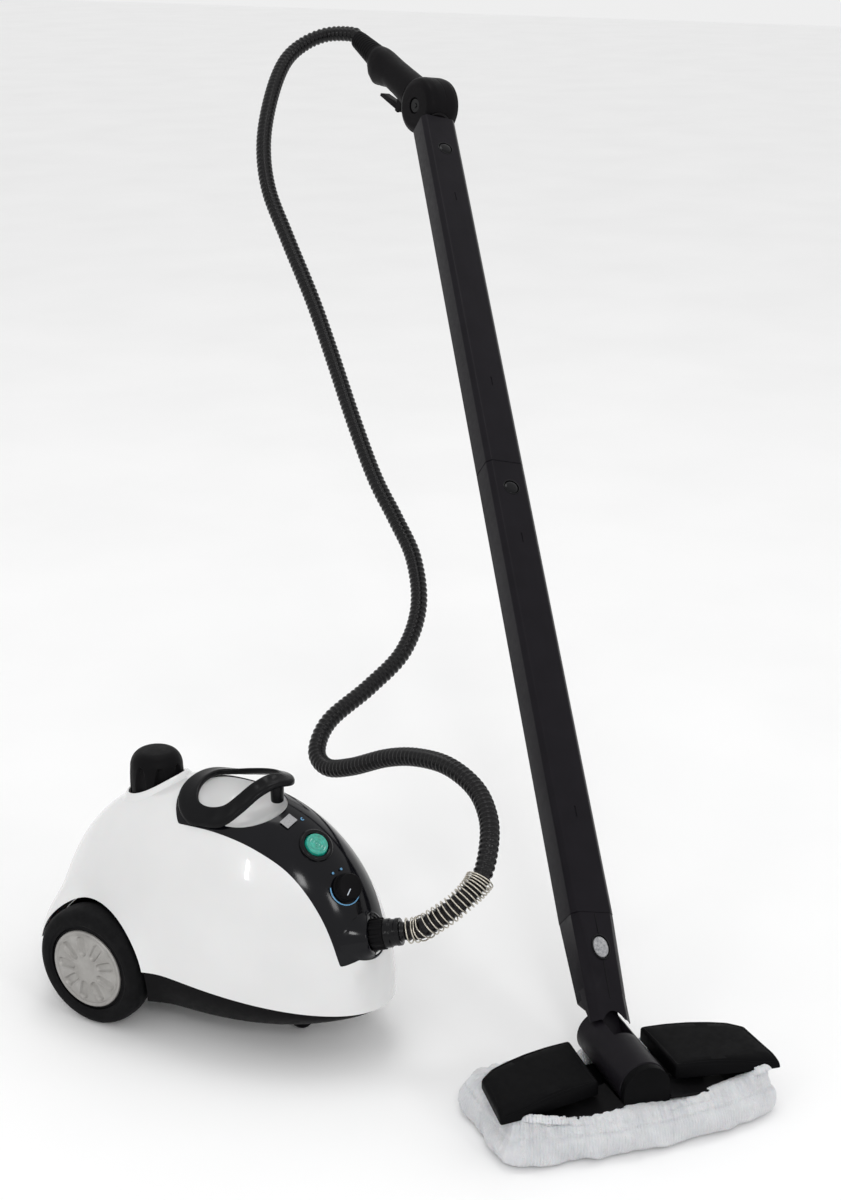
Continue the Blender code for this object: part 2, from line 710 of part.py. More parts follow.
def make_hose(parent):
    """A hollow hose of even section along its centre line."""
    points = hose_points()
    count, bore = 8, 0.0062
    side = Vector((1, 0, 0))
    outer, inner = [], []
    for i, center in enumerate(points):
        ahead = (points[min(i + 1, len(points) - 1)] - points[max(i - 1, 0)]).normalized()
        side = (side - ahead * side.dot(ahead)).normalized()
        up = ahead.cross(side)
        angles = [2 * math.pi * k / count for k in range(count)]
        around = [side * math.cos(a) + up * math.sin(a) for a in angles]
        outer.append([center + way * HOSE_RADIUS for way in around])
        inner.append([center + way * bore for way in around])
    loft("steam_hose", outer + inner[::-1], GLOSS_BLACK, parent, "loop")
    make_strain_spring(parent)


def make_strain_spring(parent):
    """A wire coil over the hose's first stretch, wider at its free end."""
    turns, per_turn, wire = 13, 8, 0.0009
    clearance, flare = 0.0026, 0.0014
    first, span, spacing = 2, 44, 0.002
    path = evenly(hose_points(), spacing)
    steps = turns * per_turn
    rings = []
    side = Vector((1, 0, 0))
    for k in range(steps + 1):
        share = k / steps
        index = int(first + share * span)
        center = path[index].lerp(path[index + 1], first + share * span - index)
        ahead = (path[index + 3] - path[index - 2]).normalized()
        side = (side - ahead * side.dot(ahead)).normalized()
        up = ahead.cross(side)
        angle = 2 * math.pi * k / per_turn
        radial = side * math.cos(angle) + up * math.sin(angle)
        middle = center + radial * (HOSE_RADIUS + clearance + flare * share)
        corners = (0.8, 2.4, 3.9, 5.5)
        rings.append([middle + (radial * math.cos(a) + ahead * math.sin(a)) * wire for a in corners])
    loft("strain_spring", rings, STEEL, parent)


# ---------- wand ----------


def rounded_rectangle(half_x, half_y, chamfer):
    x, y = half_x, half_y
    near_x, near_y = x - chamfer, y - chamfer
    right = [(x, -near_y), (x, near_y), (near_x, y)]
    return right + [(-near_x, y), (-x, near_y), (-x, -near_y), (-near_x, -y), (near_x, -y)]


def section_ring(half_x, half_y, chamfer, z):
    return [(x, y, z) for x, y in rounded_rectangle(half_x, half_y, chamfer)]


def hollow_tube(name, half, wall, chamfer, low, high, look, parent):
    """An open tube of chamfered rectangular section."""
    bite = chamfer - 0.4 * wall
    outer = [section_ring(half[0], half[1], chamfer, z) for z in (low, high)]
    inner = [section_ring(half[0] - wall, half[1] - wall, bite, z) for z in (high, low)]
    return loft(name, outer + inner, look, parent, "loop")


def wand_tube(name, low, high, parent):
    return hollow_tube(name, TUBE_HALF, TUBE_WALL, 0.005, low, high, CHARCOAL, parent)


def spigot(name, low, high, parent):
    """The sleeve that two pieces of the wand push on to."""
    return hollow_tube(name, SPIGOT_HALF, 0.0018, 0.0055, low, high, MATTE_BLACK, parent)


def wand_matrix():
    """The wand's frame: Z up the wand, X across it, from the floor head's pivot."""
    lateral = barrel_matrix().to_3x3() @ Vector((1, 0, 0))
    return turn_to(WAND, PIVOT, lateral)


def head_matrix():
    return Matrix.Translation((PIVOT.x, PIVOT.y, 0)) @ Matrix.Rotation(HEAD_YAW, 4, "Z")


def barrel_matrix():
    """The barrel's frame, rolled about the head's front-back axis until it lies under the wand."""
    leaned = head_matrix().to_3x3().inverted() @ WAND
    roll = math.atan2(leaned.x, leaned.z)
    return head_matrix() @ Matrix.Translation((0, 0, PIVOT.z)) @ Matrix.Rotation(roll, 4, "Y")


def gun_matrix():
    center = PIVOT + WAND * GUN_FROM_PIVOT
    return turn_to(GRIP_DIRECTION, center, wand_matrix().to_3x3() @ Vector((1, 0, 0)))


def latch_button(name, height, look, parent, stretch=1.0):
    """A round release button on the wand's front face, pressed inwards along +Y."""
    front = -TUBE_HALF[1]
    at = empty(f"{name}_axis", parent, turn_to((0, 1, 0), (0, front, height)))
    outline = [(0, -0.0008), (0.0070, -0.0008), (0.0078, 0.0), (0.0078, 0.0034), (0, 0.0034)]
    button = turned(name, outline, look, at, 24)
    button.scale = (1.0, stretch, 1.0)
    return at


def make_wand(parent):
    at = empty("wand_axis", parent, wand_matrix())
    lower = wand_tube("tube_lower", NECK_TOP + GAP, JOINT - GAP, at)
    upper = wand_tube("tube_upper", JOINT, TUBE_TOP, at)
    low = spigot("spigot_lower", NECK_TOP - 0.046, NECK_TOP + 0.02, at)
    mid = spigot("spigot_upper", JOINT - 0.055, JOINT + 0.015, at)
    for holder, inner, name, height in (
        (lower, mid, "latch_lower", JOINT - 0.034),
        (upper, None, "latch_upper", TUBE_TOP - 0.054),
    ):
        axis = latch_button(name, height, MATTE_BLACK, at)
        for obj in (holder, inner):
            if obj is not None:
                cut_rod(obj, f"{name}_{obj.name}", 0.0082, -0.003, 0.009, axis.matrix_basis, at)
    make_neck(at, low)
    rest = TUBE_TOP + 0.0004
    nozzle = [(0.005, TUBE_TOP - 0.035), (0.0125, TUBE_TOP - 0.035), (0.0125, rest), (0.0200, rest)]
    nozzle += [(0.0200, TUBE_TOP + 0.006), (0.005, TUBE_TOP + 0.006)]
    stub = turned("gun_nozzle", nozzle, MATTE_BLACK, at)
    drum = wand_matrix().inverted() @ gun_matrix() @ turn_to((1, 0, 0), (0, 0, 0))
    cut_rod(stub, "nozzle_seat", KNUCKLE_RADIUS + GAP, -0.03, 0.03, drum, at, 40)
    return at


def make_neck(at, low_spigot):
    """The faceted socket that takes the lower tube, with the tongue that hinges in the barrel."""
    h = (0.0212, 0.0178)
    bore = (SPIGOT_HALF[0] + GAP, SPIGOT_HALF[1] + GAP)
    top = NECK_TOP
    outer = [section_ring(0.0097, 0.0088, 0.003, 0.0290), section_ring(0.0150, 0.0118, 0.0045, 0.0350)]
    outer += [section_ring(0.0200, 0.0165, 0.007, 0.041), section_ring(h[0], h[1], 0.007, 0.090)]
    outer += [section_ring(*TUBE_HALF, 0.006, top)]
    inner = [section_ring(*bore, 0.0057, z) for z in (top, 0.0735)]
    neck = loft("neck_socket", outer + inner, CHARCOAL, at)
    tongue = box("cutter_tongue", (-0.0095, -0.0085, -0.0095), (0.0095, 0.0085, 0.030), None, at)
    join(neck, tongue)
    cut_rod(neck, "neck_pin_hole", 0.0033, -0.02, 0.02, turn_to((1, 0, 0), (0, 0, 0)), at, 16)
    height = NECK_TOP - 0.034
    axis = latch_button("latch_neck", height, GREY, at, 1.35)
    for obj in (neck, low_spigot):
        tool = rod(f"cutter_latch_{obj.name}", 0.0082, -0.003, 0.009, None, at, 24)
        tool.matrix_local = axis.matrix_basis
        tool.scale = (1.0, 1.35, 1.0)
        boolean(obj, tool)


# ---------- gun ----------


def grip_ring(z, half_x, front, back):
    """A grip section: half_x wide, reaching front along -Y and back along +Y."""
    count = 24
    ring = []
    for i in range(count):
        a = 2 * math.pi * i / count
        reach = back if math.sin(a) > 0 else front
        ring.append((half_x * math.cos(a), reach * math.sin(a), z))
    return ring


def make_gun(parent):
    at = empty("gun_axis", parent, gun_matrix())
    drum_axis = turn_to((1, 0, 0), (0, 0, 0))
    r = KNUCKLE_RADIUS
    drum = [(0, -0.0235), (r - 0.008, -0.0235), (r - 0.002, -0.0195), (r, -0.013)]
    drum += [(r, 0.013), (r - 0.002, 0.0195), (r - 0.008, 0.0235), (0, 0.0235)]
    knuckle = turned("gun_knuckle", drum, MATTE_BLACK, at, 28)
    knuckle.matrix_local = drum_axis
    cut_rod(knuckle, "lock_recess", 0.0095, -0.03, -0.0195, drum_axis, at)
    screw = rod("gun_lock_screw", 0.0088, -0.0225, -0.0199, MATTE_BLACK, at, 20, 0.0006)
    screw.matrix_local = drum_axis
    sections = ((0.022, 0.0175, 0.020, 0.026), (0.045, 0.0175, 0.0195, 0.0200))
    sections += ((0.085, 0.0165, 0.018, 0.0185), (0.112, 0.0165, 0.0175, 0.0215))
    sections += ((GRIP_END, 0.0145, 0.0155, 0.0175),)
    for side in (-1, 1):
        rings = [grip_ring(*section) for section in sections]
        shell = loft(f"grip_shell_{mirrored(side)}", rings, MATTE_BLACK, at)
        name = mirrored(side)
        cut_rod(shell, f"grip_seat_{name}", r + GAP, -0.03, 0.03, drum_axis, at, 36)
        away = (-0.03, -0.05, 0.0) if side > 0 else (-GAP / 2, -0.05, 0.0)
        to = (GAP / 2, 0.05, 0.15) if side > 0 else (0.03, 0.05, 0.15)
        cut_box(shell, f"grip_half_{name}", away, to, at)
        cut_rod(shell, f"grip_bore_{name}", 0.0100, 0.042, 0.120, Matrix.Identity(4), at, 20)
        cut_box(shell, f"lock_slot_{name}", (-0.0073, 0.0085, 0.0997), (0.0073, 0.03, 0.1073), at)
        near, far = sorted((side * 0.0070, side * 0.0098))
        join(shell, box(f"cutter_lug_{name}", (near, 0.0165, 0.0425), (far, 0.0320, 0.0515), None, at))
    box("microswitch", (-0.0045, -0.0070, 0.052), (0.0045, 0.0060, 0.072), GREY, at)
    relief = [(0, GRIP_END + GAP), (0.0150, GRIP_END + GAP), (0.0135, 0.150)]
    relief += [(0.0112, RELIEF_END), (0, RELIEF_END)]
    turned("gun_relief", relief, MATTE_BLACK, at, 24)
    make_trigger(at)


def make_trigger(at):
    """The lever under the grip, hinged at its knuckle end, and the sliding lock behind it."""
    pivot = empty("trigger_axis", at, turn_to((1, 0, 0), TRIGGER_PIVOT))
    rings = []
    for x in (-0.0065, 0.0065):
        # Local Z of the hinge frame is the gun's X
        outline = [(-0.0032, -0.0024), (-0.0020, 0.0032), (0.0450, 0.0050), (0.0450, 0.0015)]
        outline.append((0.0080, -0.0030))
        rings.append([(y, along, x) for along, y in outline])
    lever = loft("steam_trigger", rings, MATTE_BLACK, at)
    lever.matrix_local = pivot.matrix_basis
    cut_rod(lever, "trigger_hole", 0.0018, -0.01, 0.01, pivot.matrix_basis, at, 12)
    pin = rod("cutter_trigger_pin", 0.0015, -0.0068, 0.0080, None, pivot, 12)
    join(bpy.data.objects["grip_shell_left"], pin)
    box("trigger_lock", (-0.0040, 0.0104, 0.1000), (0.0040, 0.0242, 0.1070), RED_RUBBER, at)


# ---------- floor head ----------


def head_outline(grow, count=12):
    """The floor head's plan: straight behind, bowed forward in front, with cut corners."""
    half = HEAD_HALF + grow
    rear = 0.022 + grow
    points = [(half - 0.008, rear), (half, rear - 0.008)]
    for k in range(count + 1):
        share = 1 - 2 * k / count
        x = (half - 0.006 * abs(share) ** 6) * share
        points.append((x, -(0.068 + grow + 0.017 * (1 - share**2))))
    return points + [(-half, rear - 0.008), (-half + 0.008, rear)]


def make_head(parent):
    at = empty("head_axis", parent, head_matrix())
    base = prism("head_base", head_outline(0.0), 0.0120, 0.0270, MATTE_BLACK, at)
    for name, low, high in (("front", -0.068, -0.060), ("rear", 0.006, 0.014)):
        join(base, box(f"cutter_strip_{name}", (-0.105, low, 0.0068), (0.105, high, 0.0125), None, at))
    levels = [(-0.004, 0.0), (0.0115, 0.006), (0.0135, 0.020), (0.0105, 0.036)]
    outer = [[(x, y, z) for x, y in head_outline(grow)] for grow, z in levels]
    inner = [[(x, y, z) for x, y in head_outline(grow)] for grow, z in ((0.0012, 0.036), (0.0008, 0.0064))]
    loft("cloth_bonnet", outer + inner, TERRY, at)

    front = rounded_front(0.0220)
    join(base, loft("cutter_cradle", [[(x, y, z) for x, z in front] for y in (-0.0785, -0.0712)], None, at))
    pin_axis = turn_to((0, 1, 0), (0, 0, PIVOT.z))
    pin = rod("cutter_roll_pin", 0.0040, -0.0760, -0.052, None, at, 16)
    pin.matrix_local = pin_axis
    join(base, box("cutter_saddle", (-0.018, -0.050, 0.0265), (0.018, -0.034, 0.0400), None, at))
    cut_rod(base, "saddle_seat", BARREL_RADIUS + GAP, -0.0705, -0.02, pin_axis, at, 36)
    join(base, pin)

    roll = empty("barrel_axis", parent, barrel_matrix())
    barrel = rod("swivel_barrel", BARREL_RADIUS, -0.0708, 0.0225, CHARCOAL, roll, 28, 0.001)
    barrel.matrix_local = turn_to((0, 1, 0), (0, 0, 0))
    cut_box(barrel, "barrel_slot", (-0.0100, -0.0200, -0.0170), (0.0100, 0.0400, 0.0400), roll)
    cut_rod(barrel, "barrel_bore", 0.0043, -0.09, -0.050, turn_to((0, 1, 0), (0, 0, 0)), roll, 16)
    cut_rod(barrel, "barrel_pin_hole", 0.0033, -0.03, 0.03, turn_to((1, 0, 0), (0, 0, 0)), roll, 16)
    pitch_pin = rod("neck_pin", 0.0030, -0.0205, 0.0205, STEEL, roll, 16)
    pitch_pin.matrix_local = turn_to((1, 0, 0), (0, 0, 0))
    for side in (-1, 1):
        make_wing(side, at, base)


def rounded_front(radius):
    """The bracket's face: a block with a half-round top, as (x, z)."""
    points = [(-radius, 0.0265), (radius, 0.0265)]
    for k in range(13):
        a = math.pi * k / 12
        points.append((radius * math.cos(a), PIVOT.z + radius * math.sin(a)))
    return points


WING_AXIS = (0.066, 0.0345)


def make_wing(side, parent, base):
    """A cloth clamp: a plate on a pin, so that pressing its inner end lifts the outer one."""
    name = mirrored(side)
    at = empty(f"wing_axis_{name}", parent, Matrix.Translation((side * WING_AXIS[0], 0, WING_AXIS[1])))
    outline = [(0.034, 0.011), (0.080, 0.007), (0.117, -0.003), (0.129, -0.013)]
    outline += [(0.134, -0.0735), (0.098, -0.069), (0.062, -0.063), (0.036, -0.058)]
    points = [((x - WING_AXIS[0]) * side, y) for x, y in outline]
    lower, upper = 0.041 - WING_AXIS[1], 0.055 - WING_AXIS[1]
    shrink = [(x * 0.975, (y + 0.028) * 0.96 - 0.028) for x, y in points]
    rings = [[(x, y, z) for x, y in points] for z in (lower, upper - 0.0015)]
    rings.append([(x, y, upper) for x, y in shrink])
    plate = loft(f"clamp_wing_{name}", rings, MATTE_BLACK, at)
    pin_axis = turn_to((0, 1, 0), (0, 0, 0))
    for spot, low in (("front", -0.0520), ("rear", -0.0140)):
        near = (-0.005, low, -0.0035)
        far = (0.005, low + 0.006, lower + 0.003)
        join(plate, box(f"cutter_lug_{spot}_{name}", near, far, None, at))
    cut_rod(plate, f"wing_pin_{name}", 0.0024, -0.06, 0.0, pin_axis, at, 12)
    foot = (-0.006, -0.0450, 0.0265 - WING_AXIS[1])
    join(base, box(f"cutter_stand_{name}", foot, (0.006, -0.0150, 0.0035), None, at))
    pin = rod(f"cutter_wing_pin_{name}", 0.0021, -0.0530, -0.0070, None, at, 12)
    pin.matrix_local = pin_axis
    join(base, pin)


def main():
    for obj in list(bpy.data.objects):
        bpy.data.objects.remove(obj, do_unlink=True)
    origin = empty("machine_origin", None, Matrix.Translation(ORIGIN))
    make_housing(origin)
    make_handle(origin)
    make_cap(origin)
    make_controls(origin)
    make_outlet(origin)
    make_internals(origin)
    make_wheels(origin)
    make_caster(origin)
    make_hose(origin)
    make_wand(origin)
    make_gun(origin)
    make_head(origin)


main()
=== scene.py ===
"""The looks of the canister steam cleaner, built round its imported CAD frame."""

import json
import math

import bmesh
import bpy
import numpy as np
from mathutils import Matrix, Vector, noise

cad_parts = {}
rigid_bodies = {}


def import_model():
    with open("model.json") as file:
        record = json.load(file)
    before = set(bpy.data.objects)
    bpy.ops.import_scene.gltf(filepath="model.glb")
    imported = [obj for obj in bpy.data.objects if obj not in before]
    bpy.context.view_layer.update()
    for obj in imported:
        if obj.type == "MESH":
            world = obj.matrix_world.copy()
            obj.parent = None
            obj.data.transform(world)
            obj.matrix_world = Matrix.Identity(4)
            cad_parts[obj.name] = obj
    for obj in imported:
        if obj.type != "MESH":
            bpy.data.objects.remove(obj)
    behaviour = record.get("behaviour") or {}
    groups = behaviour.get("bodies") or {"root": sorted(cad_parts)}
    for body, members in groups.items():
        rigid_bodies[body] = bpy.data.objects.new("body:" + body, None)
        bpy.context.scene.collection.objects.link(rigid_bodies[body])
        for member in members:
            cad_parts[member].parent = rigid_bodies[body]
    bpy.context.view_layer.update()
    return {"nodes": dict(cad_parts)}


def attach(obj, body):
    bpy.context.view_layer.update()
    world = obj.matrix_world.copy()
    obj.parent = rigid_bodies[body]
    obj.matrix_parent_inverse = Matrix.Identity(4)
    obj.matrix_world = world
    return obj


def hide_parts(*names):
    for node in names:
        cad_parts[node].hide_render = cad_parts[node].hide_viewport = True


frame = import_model()
NODES = frame["nodes"]
ROOT = "canister_and_wand"

# Lengths are metres from the canister's rear axle on the floor; ORIGIN moves them into the row frame.
ORIGIN = Vector((-0.3812, 0.1686, 0.0))
GAP = 0.0003

BODY_MID_Y = -0.104
NOSE_LENGTH = 0.170
TAIL_LENGTH = 0.188
BODY_HALF_WIDTH = 0.090
RIM_Z = 0.072
TOP_Z = 0.238
NOSE_DROP = 0.016
FENDER = (0.104, 0.078, 0.120)
BLEND = 14
WALL = 0.003
OUTLET_HOLE = 0.0180
TRAY_DEPTH = 0.038
TRAY_TAPER = 0.86

WHEEL_RADIUS = 0.0595
WHEEL_WIDTH = 0.030
WHEEL_FACE_X = 0.100
RIM_RADIUS = 0.042
WELL_RADIUS = 0.0635
DISH_CENTER = (-0.008, -0.121)
DISH_HALF = (0.036, 0.046)
HANDLE_STUB = (0.004, -0.153)
CAP_Y = -0.017
OUTLET_DIRECTION = Vector((0.336, -0.913, 0.230)).normalized()
OUTLET_START = Vector((-0.012, -0.256, 0.1245))
SLEEVE_END = 0.0357

PIVOT = Vector((0.046, -0.478, 0.050))
WAND = Vector((0.6149, 0.5099, 0.6016)).normalized()
HEAD_YAW = math.radians(-40.4)
NECK_TOP = 0.120
JOINT = 0.644
TUBE_TOP = 1.168
TUBE_HALF = (0.022, 0.018)
GUN_FROM_PIVOT = 1.204
LATCH_HEIGHTS = {"low": JOINT - 0.034, "high": TUBE_TOP - 0.054, "end": NECK_TOP - 0.034}
TUBE_SEAMS = {"low": (0.225, 0.545), "high": (0.755, 1.035)}
KNUCKLE_RADIUS = 0.0345
GRIP_DIRECTION = Vector((0.412, 0.825, 0.389)).normalized()
GRIP_END = 0.128
RELIEF_END = 0.177
HEAD_HALF = 0.124
BARREL_RADIUS = 0.0225
CLOTH_LOWEST = 0.0018

HOSE_RADIUS = 0.0095
HOSE_ROUTE = [
    (0.007, -0.314, 0.144), (0.022, -0.335, 0.163), (0.045, -0.345, 0.180), (0.072, -0.339, 0.199),
    (0.102, -0.322, 0.213), (0.130, -0.293, 0.224), (0.152, -0.251, 0.229), (0.170, -0.205, 0.221),
    (0.184, -0.162, 0.205), (0.197, -0.112, 0.179), (0.210, -0.074, 0.165), (0.231, -0.048, 0.170),
    (0.266, -0.042, 0.190), (0.323, -0.057, 0.212), (0.374, -0.069, 0.238), (0.423, -0.060, 0.273),
    (0.460, -0.032, 0.314), (0.486, 0.007, 0.348), (0.509, 0.048, 0.384), (0.542, 0.096, 0.436),
    (0.585, 0.156, 0.508), (0.613, 0.199, 0.561), (0.646, 0.256, 0.626), (0.674, 0.300, 0.677),
    (0.711, 0.331, 0.726), (0.757, 0.350, 0.776), (0.805, 0.361, 0.815), (0.840, 0.355, 0.836),
    (0.862, 0.332, 0.848),
]


# ---------- materials ----------


class Nodes:
    """Short calls for the nodes of one material."""

    def __init__(self, name):
        self.material = bpy.data.materials.new(name)
        self.material.use_nodes = True
        self.tree = self.material.node_tree
        self.shader = self.tree.nodes["Principled BSDF"]
        self.place = self.tree.nodes.new("ShaderNodeTexCoord").outputs["Object"]

    def link(self, source, target):
        self.tree.links.new(source, target)

    def noise(self, scale, detail=3.0, rough=0.5, stretch=None):
        node = self.tree.nodes.new("ShaderNodeTexNoise")
        node.inputs["Scale"].default_value = scale
        node.inputs["Detail"].default_value = detail
        node.inputs["Roughness"].default_value = rough
        source = self.place
        if stretch is not None:
            mapping = self.tree.nodes.new("ShaderNodeMapping")
            mapping.inputs["Scale"].default_value = stretch
            self.link(source, mapping.inputs["Vector"])
            source = mapping.outputs["Vector"]
        self.link(source, node.inputs["Vector"])
        return node.outputs["Fac"]

    def cells(self, scale):
        node = self.tree.nodes.new("ShaderNodeTexVoronoi")
        node.inputs["Scale"].default_value = scale
        self.link(self.place, node.inputs["Vector"])
        return node.outputs["Distance"]

    def spread(self, source, low, high, start=0.3, stop=0.7):
        node = self.tree.nodes.new("ShaderNodeMapRange")
        node.inputs["From Min"].default_value = start
        node.inputs["From Max"].default_value = stop
        node.inputs["To Min"].default_value = low
        node.inputs["To Max"].default_value = high
        self.link(source, node.inputs["Value"])
        return node.outputs["Result"]

    def ramp(self, source, low, high, start=0.3, stop=0.7):
        node = self.tree.nodes.new("ShaderNodeValToRGB")
        node.color_ramp.elements[0].position = start
        node.color_ramp.elements[0].color = (*low, 1)
        node.color_ramp.elements[1].position = stop
        node.color_ramp.elements[1].color = (*high, 1)
        self.link(source, node.inputs["Fac"])
        return node.outputs["Color"]

    def bump(self, source, depth, below=None):
        node = self.tree.nodes.new("ShaderNodeBump")
        node.inputs["Distance"].default_value = depth
        node.inputs["Strength"].default_value = 1.0
        self.link(source, node.inputs["Height"])
        if below is not None:
            self.link(below, node.inputs["Normal"])
        return node.outputs["Normal"]

    def done(self, color, rough=None, normal=None, **values):
        """Links the main inputs, sets the others and gives the material."""
        for source, socket in ((color, "Base Color"), (rough, "Roughness"), (normal, "Normal")):
            if source is not None:
                self.link(source, self.shader.inputs[socket])
        for key, value in values.items():
            self.shader.inputs[key.replace("_", " ")].default_value = value
        return self.material


def plastic(name, color, rough, grain=2600, depth=0.00003, shine=0.06):
    """Moulded plastic: fine grain, faint flow marks and an uneven shine."""
    m = Nodes(name)
    low, high = (tuple(c * share for c in color) for share in (0.88, 1.12))
    uneven = m.spread(m.noise(160, 5, 0.6), rough * 0.86, rough * 1.16)
    flow = m.bump(m.noise(55, 2), depth * 2)
    relief = m.bump(m.noise(grain, 2), depth, flow)
    return m.done(m.ramp(m.noise(38, 4), low, high), uneven, relief, Specular_IOR_Level=shine)


def shell_white():
    m = Nodes("glossy_white_shell")
    color = m.ramp(m.noise(9, 3), (0.70, 0.70, 0.70), (0.75, 0.75, 0.75))
    relief = m.bump(m.noise(22, 2), 0.00010, m.bump(m.noise(520, 2), 0.000012))
    rough = m.spread(m.noise(240, 5, 0.65), 0.13, 0.24)
    soft = {"Subsurface_Weight": 0.04, "Subsurface_Scale": 0.004}
    return m.done(color, rough, relief, Coat_Weight=0.7, Coat_Roughness=0.04, **soft)


def rubber(name, color, rough, dust=0.5):
    m = Nodes(name)
    pale = tuple(c + 0.02 * dust for c in color)
    dusty = m.ramp(m.noise(70, 6, 0.7), color, pale, 0.42, 0.75)
    relief = m.bump(m.noise(3400, 2), 0.00003, m.bump(m.cells(900), 0.00005))
    uneven = m.spread(m.noise(190, 5, 0.6), rough - 0.08, rough + 0.10)
    return m.done(dusty, uneven, relief, Specular_IOR_Level=0.07)


def metal(name, color, rough, stretch=(1, 1, 12)):
    m = Nodes(name)
    brushed = m.noise(420, 4, 0.6, stretch)
    shaded = m.ramp(brushed, tuple(c * 0.82 for c in color), color)
    return m.done(shaded, m.spread(brushed, rough * 0.75, rough * 1.3), m.bump(brushed, 0.00002), Metallic=1.0)


def silver_plastic():
    m = Nodes("silver_hubcap_plastic")
    color = m.ramp(m.noise(60, 5, 0.65), (0.30, 0.29, 0.275), (0.40, 0.39, 0.375))
    return m.done(color, m.spread(m.noise(700, 4), 0.36, 0.52), m.bump(m.noise(2600, 2), 0.00003), Metallic=0.55)


def terry():
    """White looped cloth: small loops, a soft nap and slight shading between its folds."""
    m = Nodes("white_terry_cloth")
    nap = m.noise(2600, 4, 0.7)
    color = m.ramp(m.noise(42, 5, 0.65), (0.58, 0.59, 0.62), (0.74, 0.745, 0.76), 0.25, 0.7)
    relief = m.bump(nap, 0.00030, m.bump(m.cells(1150), 0.00055))
    soft = {"Subsurface_Weight": 0.10, "Subsurface_Scale": 0.004}
    return m.done(color, m.spread(nap, 0.86, 1.0), relief, Sheen_Weight=0.6, Sheen_Roughness=0.5, **soft)


def green_lens():
    m = Nodes("green_button_lens")
    color = m.ramp(m.noise(240, 3), (0.008, 0.22, 0.165), (0.02, 0.40, 0.30))
    rough, relief = m.spread(m.noise(400, 3), 0.10, 0.20), m.bump(m.noise(500, 2), 0.00002)
    soft = {"Subsurface_Weight": 0.25, "Subsurface_Scale": 0.004}
    return m.done(color, rough, relief, Coat_Weight=0.8, Coat_Roughness=0.05, **soft)


def mottled_grey():
    m = Nodes("mottled_grey_button")
    spots = m.noise(430, 6, 0.75)
    color = m.ramp(spots, (0.13, 0.135, 0.145), (0.42, 0.42, 0.43), 0.35, 0.65)
    return m.done(color, m.spread(spots, 0.35, 0.6), m.bump(spots, 0.00012))


def weave_grey():
    """A fine grey mesh, as on the vent beside the dish."""
    m = Nodes("grey_mesh_vent")
    holes = m.cells(1500)
    color = m.ramp(holes, (0.03, 0.03, 0.032), (0.34, 0.34, 0.35), 0.16, 0.34)
    return m.done(color, m.spread(holes, 0.4, 0.7), m.bump(holes, 0.00015))


WHITE = shell_white()
PANEL = plastic("gloss_black_panel", (0.0035, 0.0035, 0.005), 0.12, 900, 0.000006, shine=0.20)
HANDLE = plastic("handle_black", (0.0035, 0.0035, 0.0042), 0.24, 2200, 0.00002, shine=0.13)
SOFT_BLACK = plastic("matte_black_plastic", (0.0045, 0.0043, 0.0048), 0.47)
GLOSS = plastic("gloss_black_plastic", (0.0035, 0.0035, 0.0042), 0.17, 1400, 0.000015, shine=0.18)
WAND_BLACK = plastic("charcoal_tube_plastic", (0.0080, 0.0070, 0.0092), 0.38, 3000, 0.00003, shine=0.08)
GUN_BLACK = plastic("gun_black_plastic", (0.0050, 0.0045, 0.0052), 0.44, 2300, 0.00004)
WING_BLACK = plastic("wing_black_plastic", (0.0030, 0.0030, 0.0034), 0.50, 2100, 0.00004, shine=0.04)
HOSE_BLACK = plastic("hose_black_plastic", (0.0030, 0.0028, 0.0033), 0.22, 1800, 0.00002, shine=0.24)
TYRE = rubber("tyre_rubber", (0.0045, 0.0045, 0.005), 0.62, 0.2)
SEAL = rubber("seal_rubber", (0.32, 0.05, 0.03), 0.6)
SILVER = silver_plastic()
STEEL = metal("spring_steel", (0.62, 0.58, 0.50), 0.26)
CAST = metal("cast_aluminium", (0.60, 0.61, 0.62), 0.42, (1, 1, 1))
BRASS = metal("turned_brass", (0.72, 0.52, 0.25), 0.28)
TERRY = terry()
GREEN = green_lens()
MOTTLED = mottled_grey()
VENT = weave_grey()
GREY = plastic("grey_plastic", (0.17, 0.175, 0.18), 0.5)
BLUE_INK = plastic("pale_blue_ink", (0.16, 0.38, 0.62), 0.4)
PALE_INK = plastic("pale_ink", (0.55, 0.60, 0.66), 0.4)


# ---------- meshes ----------


def mesh_piece(name, points, faces, material, body=ROOT, node=None, matrix=None, sharp=32):
    """A mesh in canister lengths, or in a local frame that matrix carries into them, riding on a body."""
    mesh = bpy.data.meshes.new(name)
    mesh.from_pydata([tuple(map(float, p)) for p in points], [], faces)
    mesh.validate()
    bm = bmesh.new()
    bm.from_mesh(mesh)
    bmesh.ops.remove_doubles(bm, verts=bm.verts, dist=0.000002)
    bmesh.ops.recalc_face_normals(bm, faces=bm.faces)
    bm.to_mesh(mesh)
    bm.free()
    mesh.transform(Matrix.Translation(ORIGIN) @ (matrix or Matrix.Identity(4)))
    mesh.shade_smooth()
    mesh.set_sharp_from_angle(angle=math.radians(sharp))
    obj = bpy.data.objects.new(name, mesh)
    bpy.context.scene.collection.objects.link(obj)
    mesh.materials.append(material)
    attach(obj, body)
    if node:
        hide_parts(node)
    return obj


def grid_faces(rows, columns, close_rows=False, caps=True):
    """Quads over rows of columns points, closed across the columns."""
    faces = []
    last = rows if close_rows else rows - 1
    for r in range(last):
        for c in range(columns):
            d = (c + 1) % columns
            s = (r + 1) % rows
            faces.append((r * columns + c, r * columns + d, s * columns + d, s * columns + c))
    if caps and not close_rows:
        faces.append(tuple(reversed(range(columns))))
        faces.append(tuple(range((rows - 1) * columns, rows * columns)))
    return faces


